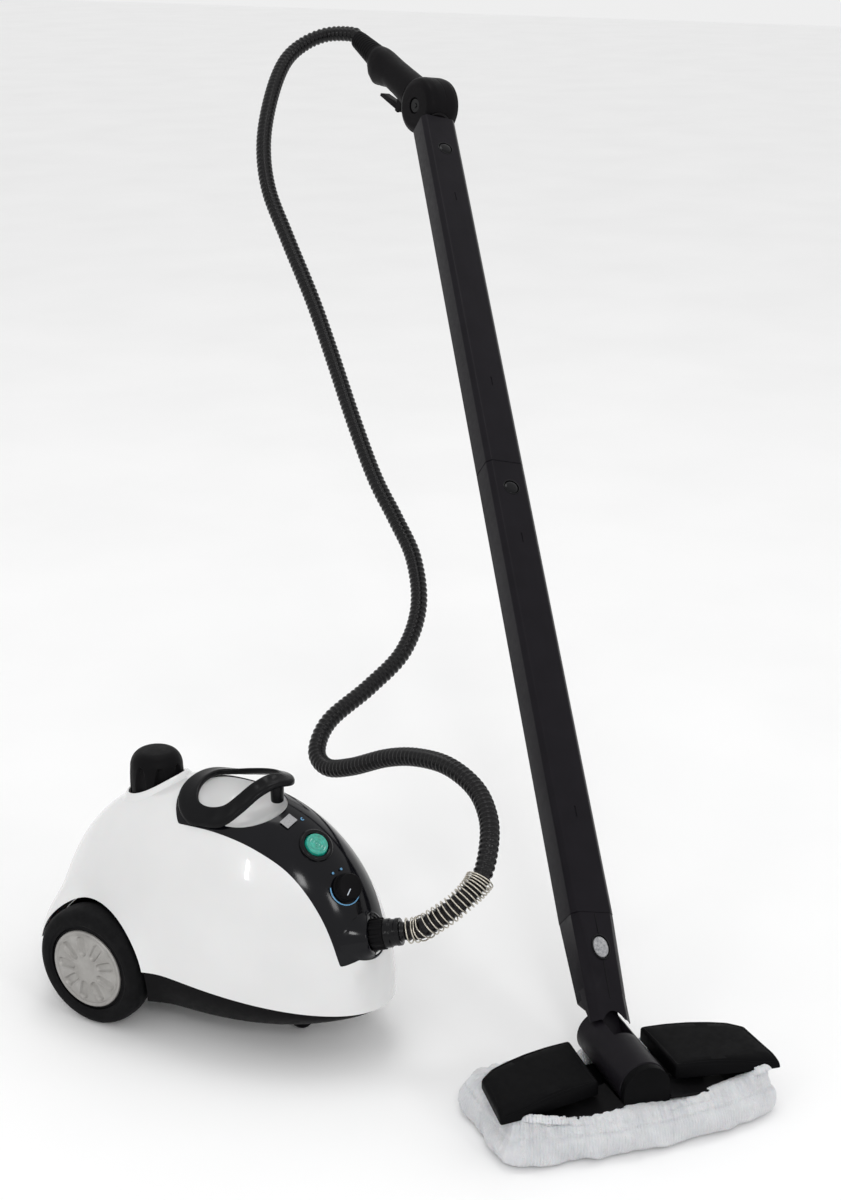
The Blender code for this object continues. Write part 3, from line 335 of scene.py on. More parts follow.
def loft(name, rings, material, closed=False, caps=True, **more):
    points = [p for ring in rings for p in ring]
    faces = grid_faces(len(rings), len(rings[0]), closed, caps)
    return mesh_piece(name, points, faces, material, **more)


def lathe(name, outline, material, segments=96, shape=None, **more):
    """Turns a (radius, height) outline about Z; shape may move each (radius, height, angle)."""
    rings = []
    for radius, height in outline:
        ring = []
        for i in range(segments):
            a = 2 * math.pi * i / segments
            r, z = shape(max(radius, 1e-5), height, a) if shape else (max(radius, 1e-5), height)
            ring.append((r * math.cos(a), r * math.sin(a), z))
        rings.append(ring)
    return loft(name, rings, material, **more)


def round_corners(outline, radius, steps=4, closed=False):
    """The outline with each corner turned into a small arc."""
    points = [Vector(p) for p in outline]
    result = []
    for i, here in enumerate(points):
        if not closed and i in (0, len(points) - 1):
            result.append(tuple(here))
            continue
        before, after = points[i - 1], points[(i + 1) % len(points)]
        a, b = before - here, after - here
        reach = min(radius, 0.45 * a.length, 0.45 * b.length)
        start, stop = here + a.normalized() * reach, here + b.normalized() * reach
        for k in range(steps + 1):
            t = k / steps
            result.append(tuple(start * (1 - t) ** 2 + here * 2 * t * (1 - t) + stop * t * t))
    return result


def refined(node, material, body, width=0.0008, segments=2):
    """A copy of a CAD node with its edges rounded, which stands for it."""
    source = NODES[node]
    obj = bpy.data.objects.new(f"{node}_look", source.data.copy())
    bpy.context.scene.collection.objects.link(obj)
    bm = bmesh.new()
    bm.from_mesh(obj.data)
    bmesh.ops.remove_doubles(bm, verts=bm.verts, dist=0.00001)
    bmesh.ops.dissolve_limit(bm, angle_limit=math.radians(1.0), verts=bm.verts, edges=bm.edges)
    bm.to_mesh(obj.data)
    bm.free()
    obj.data.materials.clear()
    obj.data.materials.append(material)
    bevel = obj.modifiers.new("edge", "BEVEL")
    bevel.width = width
    bevel.segments = segments
    bevel.limit_method = "ANGLE"
    bevel.angle_limit = math.radians(40)
    bevel.harden_normals = True
    obj.data.shade_smooth()
    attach(obj, body)
    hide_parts(node)
    return obj


def cut(obj, tool, operation="DIFFERENCE"):
    """Applies a Boolean with a scratch mesh, and removes the scratch mesh."""
    modifier = obj.modifiers.new("cut", "BOOLEAN")
    modifier.operation = operation
    modifier.solver = "EXACT"
    modifier.object = tool
    bpy.context.view_layer.update()
    done = bpy.data.meshes.new_from_object(obj.evaluated_get(bpy.context.evaluated_depsgraph_get()))
    obj.modifiers.clear()
    obj.data = done
    bpy.data.objects.remove(tool, do_unlink=True)


def cutter(rings, matrix=None):
    points = [p for ring in rings for p in ring]
    mesh = bpy.data.meshes.new("cutter")
    mesh.from_pydata([tuple(map(float, p)) for p in points], [], grid_faces(len(rings), len(rings[0])))
    mesh.transform(Matrix.Translation(ORIGIN) @ (matrix or Matrix.Identity(4)))
    bm = bmesh.new()
    bm.from_mesh(mesh)
    bmesh.ops.recalc_face_normals(bm, faces=bm.faces)
    bm.to_mesh(mesh)
    bm.free()
    obj = bpy.data.objects.new("cutter", mesh)
    bpy.context.scene.collection.objects.link(obj)
    return obj


def oval(center, half, count):
    """Points round an oval: its middle, and its half lengths along x and y."""
    angles = [2 * math.pi * i / count for i in range(count)]
    return [(center[0] + half[0] * math.cos(a), center[1] + half[1] * math.sin(a)) for a in angles]


def rod_cutter(radius, low, high, matrix, count=96):
    ring = oval((0, 0), (radius, radius), count)
    return cutter([[(x, y, z) for x, y in ring] for z in (low, high)], matrix)


def box_rings(low, high):
    """Two rings of a box between its lowest and its highest corner."""
    corners = ((low[0], low[1]), (high[0], low[1]), (high[0], high[1]), (low[0], high[1]))
    return [[(x, y, z) for x, y in corners] for z in (low[2], high[2])]


def resharpen(obj, angle=32):
    obj.data.shade_smooth()
    obj.data.set_sharp_from_angle(angle=math.radians(angle))


def turn_to(direction, location, spin_axis=None):
    z = Vector(direction).normalized()
    side = Vector(spin_axis) if spin_axis is not None else Vector((1, 0, 0))
    if abs(side.dot(z)) > 0.99:
        side = Vector((0, 1, 0))
    x = (side - z * side.dot(z)).normalized()
    rotation = Matrix((x, z.cross(x), z)).transposed().to_4x4()
    return Matrix.Translation(location) @ rotation


def catmull(a, b, c, d, t):
    """The point at share t between b and c on a Catmull-Rom curve."""
    return 0.5 * (2 * b + (c - a) * t + (2 * a - 5 * b + 4 * c - d) * t**2 + (3 * b - a - 3 * c + d) * t**3)


def curve_through(points, steps):
    pts = [Vector(p) for p in points]
    pts = [2 * pts[0] - pts[1], *pts, 2 * pts[-1] - pts[-2]]
    fours = list(zip(pts, pts[1:], pts[2:], pts[3:]))
    fine = [catmull(*four, k / steps) for four in fours for k in range(steps)]
    return np.array([tuple(p) for p in [*fine, pts[-2]]])


def distances(points):
    """How far along its line each point lies."""
    return np.r_[0, np.cumsum(np.linalg.norm(np.diff(points, axis=0), axis=1))]


def spaced(points, steps, goals):
    """Points at the goal distances along a line whose own points lie at steps."""
    return np.stack([np.interp(goals, steps, column) for column in points.T], 1)


def even_loop(points, count):
    closed = np.array([tuple(p) for p in [*points, points[0]]])
    steps = distances(closed)
    return spaced(closed, steps, np.linspace(0, steps[-1], count, endpoint=False)), steps[-1]


# ---------- the canister's surface ----------


def body_field(x, y, z):
    """1 on the housing's outer surface before the nose drops, less inside it."""
    front = y < BODY_MID_Y
    length = np.where(front, NOSE_LENGTH, TAIL_LENGTH)
    power = np.where(front, 2.05, 2.3)
    plan = (np.abs(x / BODY_HALF_WIDTH) ** power + np.abs((y - BODY_MID_Y) / length) ** power) ** (1 / power)
    rise = np.maximum(z - RIM_Z, 0) / (TOP_Z - RIM_Z)
    egg = (plan**2.1 + rise**2.1) ** (1 / 2.1)
    fender = (np.abs(x / FENDER[0]) ** 5 + np.abs(y / FENDER[1]) ** 4 + np.abs(z / FENDER[2]) ** 4) ** 0.23
    return (np.maximum(egg, 1e-6) ** -BLEND + np.maximum(fender, 1e-6) ** -BLEND) ** (-1 / BLEND)


def bisect(inside, low, high, shape):
    low, high = np.full(shape, float(low)), np.full(shape, float(high))
    for _ in range(34):
        middle = (low + high) / 2
        within = inside(middle)
        low = np.where(within, middle, low)
        high = np.where(within, high, middle)
    return low


def dropped(y, z):
    share = np.maximum(0.0, (-y - 0.08) / 0.18) ** 1.3
    return z - NOSE_DROP * share * (1 - (z - RIM_Z) / (TOP_Z - RIM_Z))


def surface_height(x, y):
    x, y = np.asarray(x, float), np.asarray(y, float)
    return dropped(y, bisect(lambda z: body_field(x, y, z) < 1, RIM_Z, 0.3, np.shape(x + y)))


def body_rows(climbs, count, inset=0.0, shrink=1.0):
    """Rings of points on the housing, from the rim at climb 0 to the top at a quarter turn."""
    angle = np.linspace(0, 2 * math.pi, count, endpoint=False)[None, :]
    climb = np.asarray(climbs, float)[:, None]
    z = RIM_Z + (TOP_Z - RIM_Z) * np.sin(climb) + 0 * angle
    cos, sin = np.cos(angle), np.sin(angle)
    radius = bisect(lambda r: body_field(r * cos, BODY_MID_Y + r * sin, z) < 1, 0, 0.4, z.shape) * shrink
    radius = np.maximum(radius - inset * np.cos(climb), 0.0005)
    y = BODY_MID_Y + radius * sin
    return np.stack([radius * cos, y, dropped(y, z - inset * np.sin(climb))], axis=2)


def shell_piece(name, material, node, inset=0.0, count=208, levels=52):
    climbs = np.radians(np.concatenate([np.linspace(0, 78, levels), np.linspace(79.5, 89.2, 9)]))
    outer = body_rows(climbs, count, inset)
    inner = body_rows(climbs, count, inset + WALL)[::-1]
    rows = np.concatenate([inner, outer])
    points = rows.reshape(-1, 3)
    return mesh_piece(name, points, grid_faces(len(rows), count), material, node=node)


PANEL_OUTLINE = [
    (-0.008, -0.1210), (0.014, -0.1170), (0.029, -0.1060), (0.038, -0.0870), (0.040, -0.0587), (0.040, -0.0254),
    (0.038, 0.0085), (0.034, 0.0403), (0.020, 0.0834), (0.012, 0.0990), (-0.016, 0.1085), (-0.042, 0.1011),
    (-0.0430, 0.0550), (-0.0440, 0.0085), (-0.0470, -0.0254), (-0.0495, -0.0587), (-0.0505, -0.0926),
    (-0.040, -0.1070), (-0.026, -0.1170),
]
SLOPE = math.sqrt(0.5)


def smooth_loop(points, steps, tight):
    """A closed Catmull-Rom loop; the points listed as tight stay nearly sharp."""
    count = len(points)
    pts = [Vector(p) for p in points]
    loop = []
    for i in range(count):
        a, b, c, d = (pts[(i + k) % count] for k in (-1, 0, 1, 2))
        pull_b = 0.15 if i in tight else 0.5
        pull_c = 0.15 if (i + 1) % count in tight else 0.5
        m1, m2 = (c - a) * pull_b, (d - b) * pull_c
        for k in range(steps):
            t = k / steps
            h = (2 * t**3 - 3 * t**2 + 1, t**3 - 2 * t**2 + t, -2 * t**3 + 3 * t**2, t**3 - t**2)
            loop.append(b * h[0] + m1 * h[1] + c * h[2] + m2 * h[3])
    return loop


def panel_cutter(grow):
    middle = Vector((-0.006, -0.010))
    loop = [p + (p - middle).normalized() * grow for p in smooth_loop(PANEL_OUTLINE, 8, (11, 16))]
    rings = [[(p.x, -(p.y + lift) * SLOPE, (lift - p.y) * SLOPE) for p in loop] for lift in (0.13, 0.36)]
    return cutter(rings)


def dish_cutter():
    return cutter([[(x, y, z) for x, y in oval(DISH_CENTER, DISH_HALF, 120)] for z in (0.10, 0.30)])


def cut_wheel_wells(obj):
    for side in (-1, 1):
        cut(obj, rod_cutter(WELL_RADIUS, 0, 0.08, turn_to((side, 0, 0), (side * 0.066, 0, WHEEL_RADIUS))))


def make_housing():
    shell = shell_piece("shell", WHITE, "upper_shell")
    cut(shell, panel_cutter(GAP))
    cut(shell, dish_cutter())
    cut_wheel_wells(shell)
    cut(shell, rod_cutter(0.0275, 0.16, 0.30, Matrix.Translation((0, CAP_Y, 0))))
    cut(shell, rod_cutter(0.0104, -0.02, 0.03, gland_matrix()))
    cut(shell, rod_cutter(OUTLET_HOLE, -0.03, 0.03, outlet_matrix()))
    resharpen(shell, 40)
    panel = shell_piece("panel", PANEL, "control_panel", 0.0002)
    cut(panel, panel_cutter(-GAP), "INTERSECT")
    cut(panel, dish_cutter())
    cut(panel, rod_cutter(OUTLET_HOLE, -0.03, 0.03, outlet_matrix()))
    cut(panel, rod_cutter(0.0150, -0.02, 0.02, button_matrix()))
    cut(panel, rod_cutter(0.0045, -0.02, 0.02, knob_matrix()))
    resharpen(panel, 40)


def surface_matrix(x, y):
    step = 0.004
    across = Vector((2 * step, 0, float(surface_height(x + step, y) - surface_height(x - step, y))))
    along = Vector((0, 2 * step, float(surface_height(x, y + step) - surface_height(x, y - step))))
    normal = across.cross(along).normalized()
    return turn_to(normal, Vector((x, y, float(surface_height(x, y)))))


def button_matrix():
    return surface_matrix(-0.0125, -0.206)


def knob_matrix():
    return surface_matrix(-0.015, -0.238)


def outlet_matrix():
    return turn_to(OUTLET_DIRECTION, OUTLET_START)


def gland_matrix():
    return turn_to((0, 1, 0), (0.035, 0.074, 0.095))


def make_dish():
    """The white finger dish with a rolled rim."""
    count = 120
    shares = np.array([1.0, 0.985, 0.96, 0.92, 0.86, 0.78, 0.68, 0.56, 0.42, 0.26, 0.1])
    angle = np.linspace(0, 2 * math.pi, count, endpoint=False)
    rim = np.stack([(DISH_HALF[0] - GAP) * np.cos(angle), (DISH_HALF[1] - GAP) * np.sin(angle)], 1)
    rim_z = surface_height(DISH_CENTER[0] + rim[:, 0], DISH_CENTER[1] + rim[:, 1])
    rings = []
    for under in (0.0, 0.0024):
        rows = []
        for share in shares:
            edge = 0.0004 + 0.0010 * (1 - min(1.0, (1 - share) / 0.02)) ** 2
            z = rim_z * share + 0.225 * (1 - share) - 0.014 * (1 - share**3) - under - edge
            rows.append([(DISH_CENTER[0] + x * share, DISH_CENTER[1] + y * share, h) for (x, y), h in zip(rim, z)])
        rings += rows[::-1] if under == 0.0 else rows
    loft("dish", rings, WHITE, node="finger_dish")


def make_tray():
    """The dark base under the rim, with a thin step where it meets the shell."""
    count = 160

    def ring(depth, inset):
        share = depth / TRAY_DEPTH
        rows = body_rows([0.0], count, 0.003 + inset, 1 - (1 - TRAY_TAPER) * share**2)[0]
        rise = 0.62 * (RIM_Z - rows[:, 2]) / NOSE_DROP
        rows[:, 2] = rows[:, 2] - GAP - depth * (1 - rise)
        return rows

    depths = [TRAY_DEPTH * k for k in (1.0, 0.995, 0.97, 0.93, 0.86, 0.7, 0.5, 0.3, 0.12, 0.0)]
    outer = [ring(d, 0.0) for d in depths]
    inner = [ring(d, WALL) for d in (0.0, 0.5 * TRAY_DEPTH, 0.9 * TRAY_DEPTH - 0.001)]
    tray = loft("tray", outer + inner, SOFT_BLACK, node="base_tray")
    cut_wheel_wells(tray)
    cut(tray, rod_cutter(0.0045, 0.0, 0.06, Matrix.Translation((0, -0.185, 0))))
    resharpen(tray, 40)


# ---------- handle, cap and controls ----------


# The carry loop's middle line, from behind round its right side: (x, y, half width, lift)
HANDLE_LOOP = [
    (-0.0100, -0.0745, 0.0085, 0.0000), (-0.0300, -0.0770, 0.0100, 0.0000), (-0.0425, -0.0890, 0.0080, 0.0000),
    (-0.0448, -0.1060, 0.0060, 0.0005), (-0.0420, -0.1240, 0.0070, 0.0030), (-0.0330, -0.1370, 0.0075, 0.0090),
    (-0.0190, -0.1470, 0.0075, 0.0150), (-0.0050, -0.1550, 0.0078, 0.0185), (0.0080, -0.1610, 0.0072, 0.0190),
    (0.0190, -0.1510, 0.0062, 0.0170), (0.0260, -0.1330, 0.0060, 0.0120), (0.0280, -0.1120, 0.0060, 0.0060),
    (0.0240, -0.0920, 0.0065, 0.0010), (0.0100, -0.0785, 0.0075, 0.0000),
]
DIMPLES = (3.5, 4.45, 5.3, 6.15, 7.0)


def loop_stations(steps):
    """The loop's points on a smooth closed curve, a few steps for each given one."""
    count = len(HANDLE_LOOP)
    stations = []
    for i in range(count):
        a, b, c, d = (np.array(HANDLE_LOOP[(i + k) % count]) for k in (-1, 0, 1, 2))
        stations += [catmull(a, b, c, d, k / steps) for k in range(steps)]
    return stations


def make_handle():
    """The teardrop loop: flat on the housing behind, an arm with finger dimples and raised lips in front."""
    steps, section = 18, 32
    stations = loop_stations(steps)
    turn = 2 * math.pi * np.arange(section) / section
    across = np.sign(np.cos(turn)) * np.abs(np.cos(turn)) ** 0.45
    up = np.sign(np.sin(turn)) * np.abs(np.sin(turn)) ** 0.6
    rings = []
    for i, (x, y, width, lift) in enumerate(stations):
        before, after = stations[i - 1], stations[(i + 1) % len(stations)]
        tangent = Vector((after[0] - before[0], after[1] - before[1])).normalized()
        px, py = x + tangent.y * width * across, y - tangent.x * width * across
        dip = sum(0.0016 * math.exp(-(((i / steps - d) / 0.27) ** 2)) for d in DIMPLES)
        sunk = 0.0007 * np.exp(-((across / 0.62) ** 4)) + dip * np.exp(-((across / 0.5) ** 2))
        z = surface_height(px, py) + lift + 0.0007 + 0.00325 * (1 + up) - np.where(up > 0.3, sunk, 0.0)
        rings.append(list(zip(px, py, z)))
    loft("handle", rings, HANDLE, closed=True, node="carry_handle", sharp=50)
    foot = float(surface_height(*HANDLE_STUB))
    post = [(0, foot - 0.0030), (0.0060, foot - 0.0030), (0.0066, foot + 0.0190), (0, foot + 0.0200)]
    at = Matrix.Translation((*HANDLE_STUB, 0))
    lathe("handle_stub", round_corners(post, 0.002), HANDLE, 40, matrix=at)


def make_cap():
    at = Matrix.Translation((0, CAP_Y, 0))
    bottom, top = 0.1992, 0.2530

    def fluted(r, z, a):
        share = (z - bottom) / (top - bottom)
        pitch = 2 * math.pi / 8
        offset = abs((a / pitch + 0.5) % 1.0 - 0.5) * 2
        reach = 0.66 * max(0.0, 1 - (share / 0.80) ** 4) ** 0.5
        if reach <= 0.01 or r < 0.015:
            return r, z
        dip = max(0.0, 1 - (offset / reach) ** 2)
        return r * (1 - 0.105 * dip**0.8), z

    side = [(0.0252 + 0.0010 * math.sin(math.pi * k / 16), bottom + 0.0015 + 0.0360 * k / 16) for k in range(17)]
    dome = []
    for k in range(1, 13):
        a = math.pi / 2 * k / 12
        dome.append((0.0125 + 0.0127 * math.cos(a), bottom + 0.0375 + 0.0158 * math.sin(a)))
    outline = [(0.0172, 0.2208), (0.0172, bottom), (0.0245, bottom), *side, *dome, (0.006, 0.2528), (0.0, 0.2529)]
    lathe("cap", [(0.0, 0.2208), *outline], SOFT_BLACK, 240, fluted, body="cap_shell", node="filler_cap", matrix=at)
    collar = [(0.0276, -0.003), (0.0276, 0.0030), (0.0283, 0.0040), (0.0296, 0.0040)]
    collar += [(0.0310, 0.0026), (0.0330, 0.0006), (0.0345, -0.0012)]
    rings = []
    for reach, lift in collar:
        around = oval((0, CAP_Y), (reach, reach), 120)
        rings.append([(x, y, float(surface_height(x, y)) + lift) for x, y in around])
    loft("cap_collar", rings, WHITE, closed=True, sharp=50)


def ring_band(name, radius, width, start, stop, height, material, matrix):
    """A flat printed arc on a surface frame."""
    count = 48
    rings = []
    for r, z in ((radius, 0.0), (radius + width, 0.0), (radius + width, height), (radius, height)):
        angles = [start + (stop - start) * k / count for k in range(count + 1)]
        rings.append([(r * math.cos(a), r * math.sin(a), z) for a in angles])
    points = [p for ring in zip(*rings) for p in ring]
    return mesh_piece(name, points, grid_faces(count + 1, 4), material, matrix=matrix)


def make_controls():
    at = button_matrix()
    ring = [(0.0118, -0.006), (0.0146, -0.006), (0.0165, 0.0006), (0.0146, 0.0022), (0.0118, 0.0014)]
    ring = round_corners(ring, 0.0008, closed=True)
    lathe("button_ring", ring, GLOSS, 96, closed=True, node="button_bezel", matrix=at)
    rings = [(0.0, -0.008), (0.0112, -0.008), (0.0112, 0.0008), (0.0106, 0.0022)]
    for k in range(33):
        r = 0.0102 * (1 - k / 32)
        rings.append((r, 0.0030 + 0.00022 * math.cos(r / 0.0102 * math.pi * 7) * (1 if r < 0.0094 else 0)))
    lathe("button", rings, GREEN, 96, body="button", node="power_button", matrix=at)

    at = knob_matrix()

    def ribbed(r, z, a):
        return (r - 0.00045 * (0.5 + 0.5 * math.cos(44 * a)), z) if r > 0.0118 and z > 0.002 else (r, z)

    outline = [(0.0, -0.020), (0.0042, -0.020), (0.0042, 0.0010), (0.0118, 0.0010), (0.0134, 0.0016)]
    outline += [(0.0134, 0.0030), (0.0128, 0.0034), (0.0124, 0.0100), (0.0112, 0.0118), (0.0098, 0.0124), (0.0, 0.0126)]
    knob = lathe("knob", outline, SOFT_BLACK, 264, ribbed, body="knob", node="steam_knob", matrix=at)
    line = box_rings((-0.0004, -0.0105, 0.01235), (0.0004, -0.0035, 0.01285))
    turned = at @ Matrix.Rotation(math.radians(-62), 4, "Z")
    pointer = loft("knob_pointer", line, PALE_INK, body="knob", matrix=turned)
    pointer.parent = knob.parent
    ring_band("dial_arc", 0.0150, 0.0009, math.radians(150), math.radians(325), 0.0007, BLUE_INK, at)
    for k, angle in enumerate((math.radians(100), math.radians(68))):
        spot = at @ Matrix.Translation((0.0178 * math.cos(angle), 0.0178 * math.sin(angle), 0.0))
        ring_band(f"dial_mark_{k}", 0.0004, 0.0007, 0.0, 1.9 * math.pi, 0.0006, BLUE_INK, spot)
    spot = surface_matrix(-0.001, -0.1835)
    ring_band("button_mark", 0.0010, 0.0007, 0.6, 5.4, 0.0005, BLUE_INK, spot)
    refined("vent_label", VENT, ROOT, 0.0003)


def make_outlet():
    at = outlet_matrix()
    outline = [(0.0068, -0.026), (0.0108, -0.026), (0.0108, 0.0), (0.0176, 0.0)]
    outline += [(0.0174, 0.0050), (0.0160, 0.0074), (0.0068, 0.0075)]
    outline = round_corners(outline, 0.0012, closed=True)
    lathe("outlet_ring", outline, GLOSS, closed=True, node="outlet_bezel", matrix=at)

    angle = 2 * math.pi * np.arange(96) / 96
    rings = []
    for r, lift in ((0.0222, -0.0010), (0.0220, 0.0003), (0.0204, 0.0010)):
        low, high = np.full(96, -0.02), np.full(96, 0.03)
        for _ in range(20):
            along = (low + high) / 2
            x, y, z = (np.array(at) @ np.stack([r * np.cos(angle), r * np.sin(angle), along, np.ones(96)]))[:3]
            above = z > surface_height(x, y)
            low, high = np.where(above, low, along), np.where(above, along, high)
        lifted = along + lift
        x, y, z = (np.array(at) @ np.stack([r * np.cos(angle), r * np.sin(angle), lifted, np.ones(96)]))[:3]
        rings.append(list(zip(x, y, z)))
    for r, height in ((0.0186, 0.0066), (0.0172, 0.0080), (0.0152, 0.0080)):
        rings.append([(at @ Vector((r * math.cos(a), r * math.sin(a), height)))[:] for a in angle])
    loft("outlet_skirt", rings, PANEL, closed=True, sharp=50)

    def notched(r, z, a):
        wave = max(0.0, math.cos(11 * a)) ** 0.5
        return (r - 0.0014 * (1 - wave), z) if r > 0.0138 else (r, z)

    outline = [(0.0118, 0.0079), (0.0140, 0.0079), (0.0148, 0.0086)]
    outline += [(0.0148, 0.0198), (0.0142, 0.0205), (0.0118, 0.0205)]
    lathe("outlet_grip", outline, SOFT_BLACK, 176, notched, closed=True, node="outlet_collar", matrix=at)
    outline = [(0.0070, 0.0079), (0.0114, 0.0079), (0.0114, 0.0208), (0.0134, 0.0208), (0.0134, 0.0262)]
    outline += [(0.0124, 0.0270), (0.0122, 0.0310), (0.0128, 0.0316), (0.0126, SLEEVE_END), (0.0070, SLEEVE_END)]
    outline = round_corners(outline, 0.0006, closed=True)
    lathe("outlet_stem", outline, GLOSS, closed=True, node="outlet_sleeve", matrix=at)


# ---------- wheels ----------


def make_wheels():
    outer, inner, r = WHEEL_FACE_X, WHEEL_FACE_X - WHEEL_WIDTH, WHEEL_RADIUS
    for side, name in ((-1, "right"), (1, "left")):
        at = turn_to((side, 0, 0), (0, 0, WHEEL_RADIUS))
        body = f"wheel_{name}"
        edge = [(RIM_RADIUS, inner), (r - 0.007, inner), (r - 0.0015, inner + 0.003), (r, inner + 0.009)]
        edge += [(r, outer - 0.010), (r - 0.0018, outer - 0.0035), (r - 0.007, outer), (RIM_RADIUS + 0.004, outer)]
        edge += [(RIM_RADIUS + 0.0025, outer - 0.0012), (RIM_RADIUS + 0.0008, outer - 0.0012)]
        edge += [(RIM_RADIUS, outer - 0.0004)]
        tyre = round_corners(edge, 0.004, 6, closed=True)
        lathe(f"tyre_{name}_look", tyre, TYRE, 160, closed=True, body=body, node=f"tyre_{name}", matrix=at)
        lathe_hubcap(f"hubcap_{name}_look", RIM_RADIUS - 0.0027, outer, at, body, f"hubcap_{name}")
        refined(f"wheel_hub_{name}", SOFT_BLACK, body, 0.0004)


def lathe_hubcap(name, face, outer, at, body, node):
    """A grey wheel cover with nine raised, rounded-end slots round a plain middle."""

    def embossed(r, z, a):
        if z < outer - 0.0030 or r > face - 0.004:
            return r, z
        pitch = 2 * math.pi / 9
        offset = abs((a / pitch + 0.5) % 1.0 - 0.5) * pitch * r
        middle, half = face * 0.60, face * 0.26
        along = max(0.0, abs(r - middle) - half + 0.0045) / 0.0045
        across = offset / (0.0030 + 0.0026 * r / face)
        reach = math.hypot(max(0.0, along), across)
        ridge = math.exp(-(((reach - 1.0) / 0.26) ** 2))
        well = 1 / (1 + math.exp((reach - 0.9) * 14))
        return r, z + 0.0009 * ridge - 0.0021 * well

    outline = [(0.0, outer - 0.0055), (face, outer - 0.0055), (face, outer - 0.0014)]
    outline += [(face - 0.0008, outer - 0.0002), (face - 0.0022, outer), (face - 0.0030, outer - 0.0009), (face - 0.0040, outer - 0.0011)]
    steps = 46
    for k in range(steps + 1):
        r = (face - 0.0046) * (1 - k / steps)
        outline.append((r, outer - 0.0008 + 0.0012 * (1 - (r / face) ** 2)))
    lathe(name, outline, SILVER, 216, embossed, body=body, node=node, matrix=at, sharp=60)


# ---------- hose ----------


def smooth_path(route, spacing):
    """Points at an even spacing along a smooth curve through the route, and its length."""
    fine = curve_through(route, 24)
    steps = distances(fine)
    goals = np.linspace(0, steps[-1], int(round(steps[-1] / spacing)) + 1)
    return spaced(fine, steps, goals), steps[-1]


def path_frames(path):
    """The direction and two sideways directions at each point, without twist."""
    ahead = np.gradient(path, axis=0)
    ahead /= np.linalg.norm(ahead, axis=1)[:, None]
    side = np.array([1.0, 0.0, 0.0])
    sides = []
    for a in ahead:
        side = side - a * side.dot(a)
        side /= np.linalg.norm(side)
        sides.append(side)
    sides = np.array(sides)
    return ahead, sides, np.cross(ahead, sides)


def hose_path(spacing):
    start, after = (outlet_matrix() @ Vector((0, 0, SLEEVE_END + d)) for d in (GAP, 0.016))
    end, before = (gun_matrix() @ Vector((0, 0, RELIEF_END + d)) for d in (GAP, 0.016))
    return smooth_path([start, after, *HOSE_ROUTE, before, end], spacing)


def make_hose():
    pitch = 0.0062
    path, length = hose_path(pitch / 7)
    ahead, side, up = path_frames(path)
    run = np.linspace(0, length, len(path))
    phase = 0.5 + 0.5 * np.cos(2 * math.pi * run / pitch)
    radius = HOSE_RADIUS - 0.0016 + 0.0016 * phase**0.7
    count = 22
    angle = np.linspace(0, 2 * math.pi, count, endpoint=False)
    around = side[:, None, :] * np.cos(angle)[None, :, None] + up[:, None, :] * np.sin(angle)[None, :, None]
    points = (path[:, None, :] + around * radius[:, None, None]).reshape(-1, 3)
    hose = mesh_piece("hose", points, grid_faces(len(path), count), HOSE_BLACK, node="steam_hose", sharp=80)
    line = [tuple(Vector(p) + ORIGIN) for p in path[::6]]
    line.append(tuple(Vector(path[-1]) + ORIGIN))
    spring = make_spring()


def make_spring():
    """The wire coil that guards the hose's first bend, opening out at its free end."""
    turns, per_turn = 20, 20
    path, _ = hose_path(0.001)
    ahead, side, up = path_frames(path)
    curve = bpy.data.curves.new("hose_spring", "CURVE")
    curve.dimensions = "3D"
    curve.bevel_depth = 0.00070
    curve.bevel_resolution = 3
    curve.use_fill_caps = True
    spline = curve.splines.new("POLY")
    steps = turns * per_turn
    spline.points.add(steps)
    for k in range(steps + 1):
        share = k / steps
        place = 4 + 88 * math.sin(1.25 * share) / math.sin(1.25)
        i = int(place)
        center = Vector(path[i]).lerp(Vector(path[i + 1]), place - i)
        a = 2 * math.pi * k / per_turn
        radius = HOSE_RADIUS + 0.0020 + 0.0018 * max(0.0, share - 0.6) / 0.4
        offset = Vector(side[i]) * math.cos(a) + Vector(up[i]) * math.sin(a)
        spline.points[k].co = (*(center + offset * radius + ORIGIN), 1.0)
    curve.materials.append(STEEL)
    spring = bpy.data.objects.new("hose_spring", curve)
    bpy.context.scene.collection.objects.link(spring)
    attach(spring, ROOT)
    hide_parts("strain_spring")
    return spring


# ---------- wand and gun ----------


def head_matrix():
    return Matrix.Translation((PIVOT.x, PIVOT.y, 0)) @ Matrix.Rotation(HEAD_YAW, 4, "Z")


def barrel_matrix():
    leaned = head_matrix().to_3x3().inverted() @ WAND
    roll = math.atan2(leaned.x, leaned.z)
    return head_matrix() @ Matrix.Translation((0, 0, PIVOT.z)) @ Matrix.Rotation(roll, 4, "Y")


def wand_matrix():
    return turn_to(WAND, PIVOT, barrel_matrix().to_3x3() @ Vector((1, 0, 0)))


def gun_matrix():
    return turn_to(GRIP_DIRECTION, PIVOT + WAND * GUN_FROM_PIVOT, wand_matrix().to_3x3() @ Vector((1, 0, 0)))


def section(half_x, half_y, chamfer, z, soft=0.0012):
    x, y, c = half_x, half_y, chamfer
    corners = [(x, -y + c), (x, y - c), (x - c, y), (-x + c, y)]
    corners += [(-x, y - c), (-x, -y + c), (-x + c, -y), (x - c, -y)]
    return [(px, py, z) for px, py in round_corners(corners, soft, 3, closed=True)]


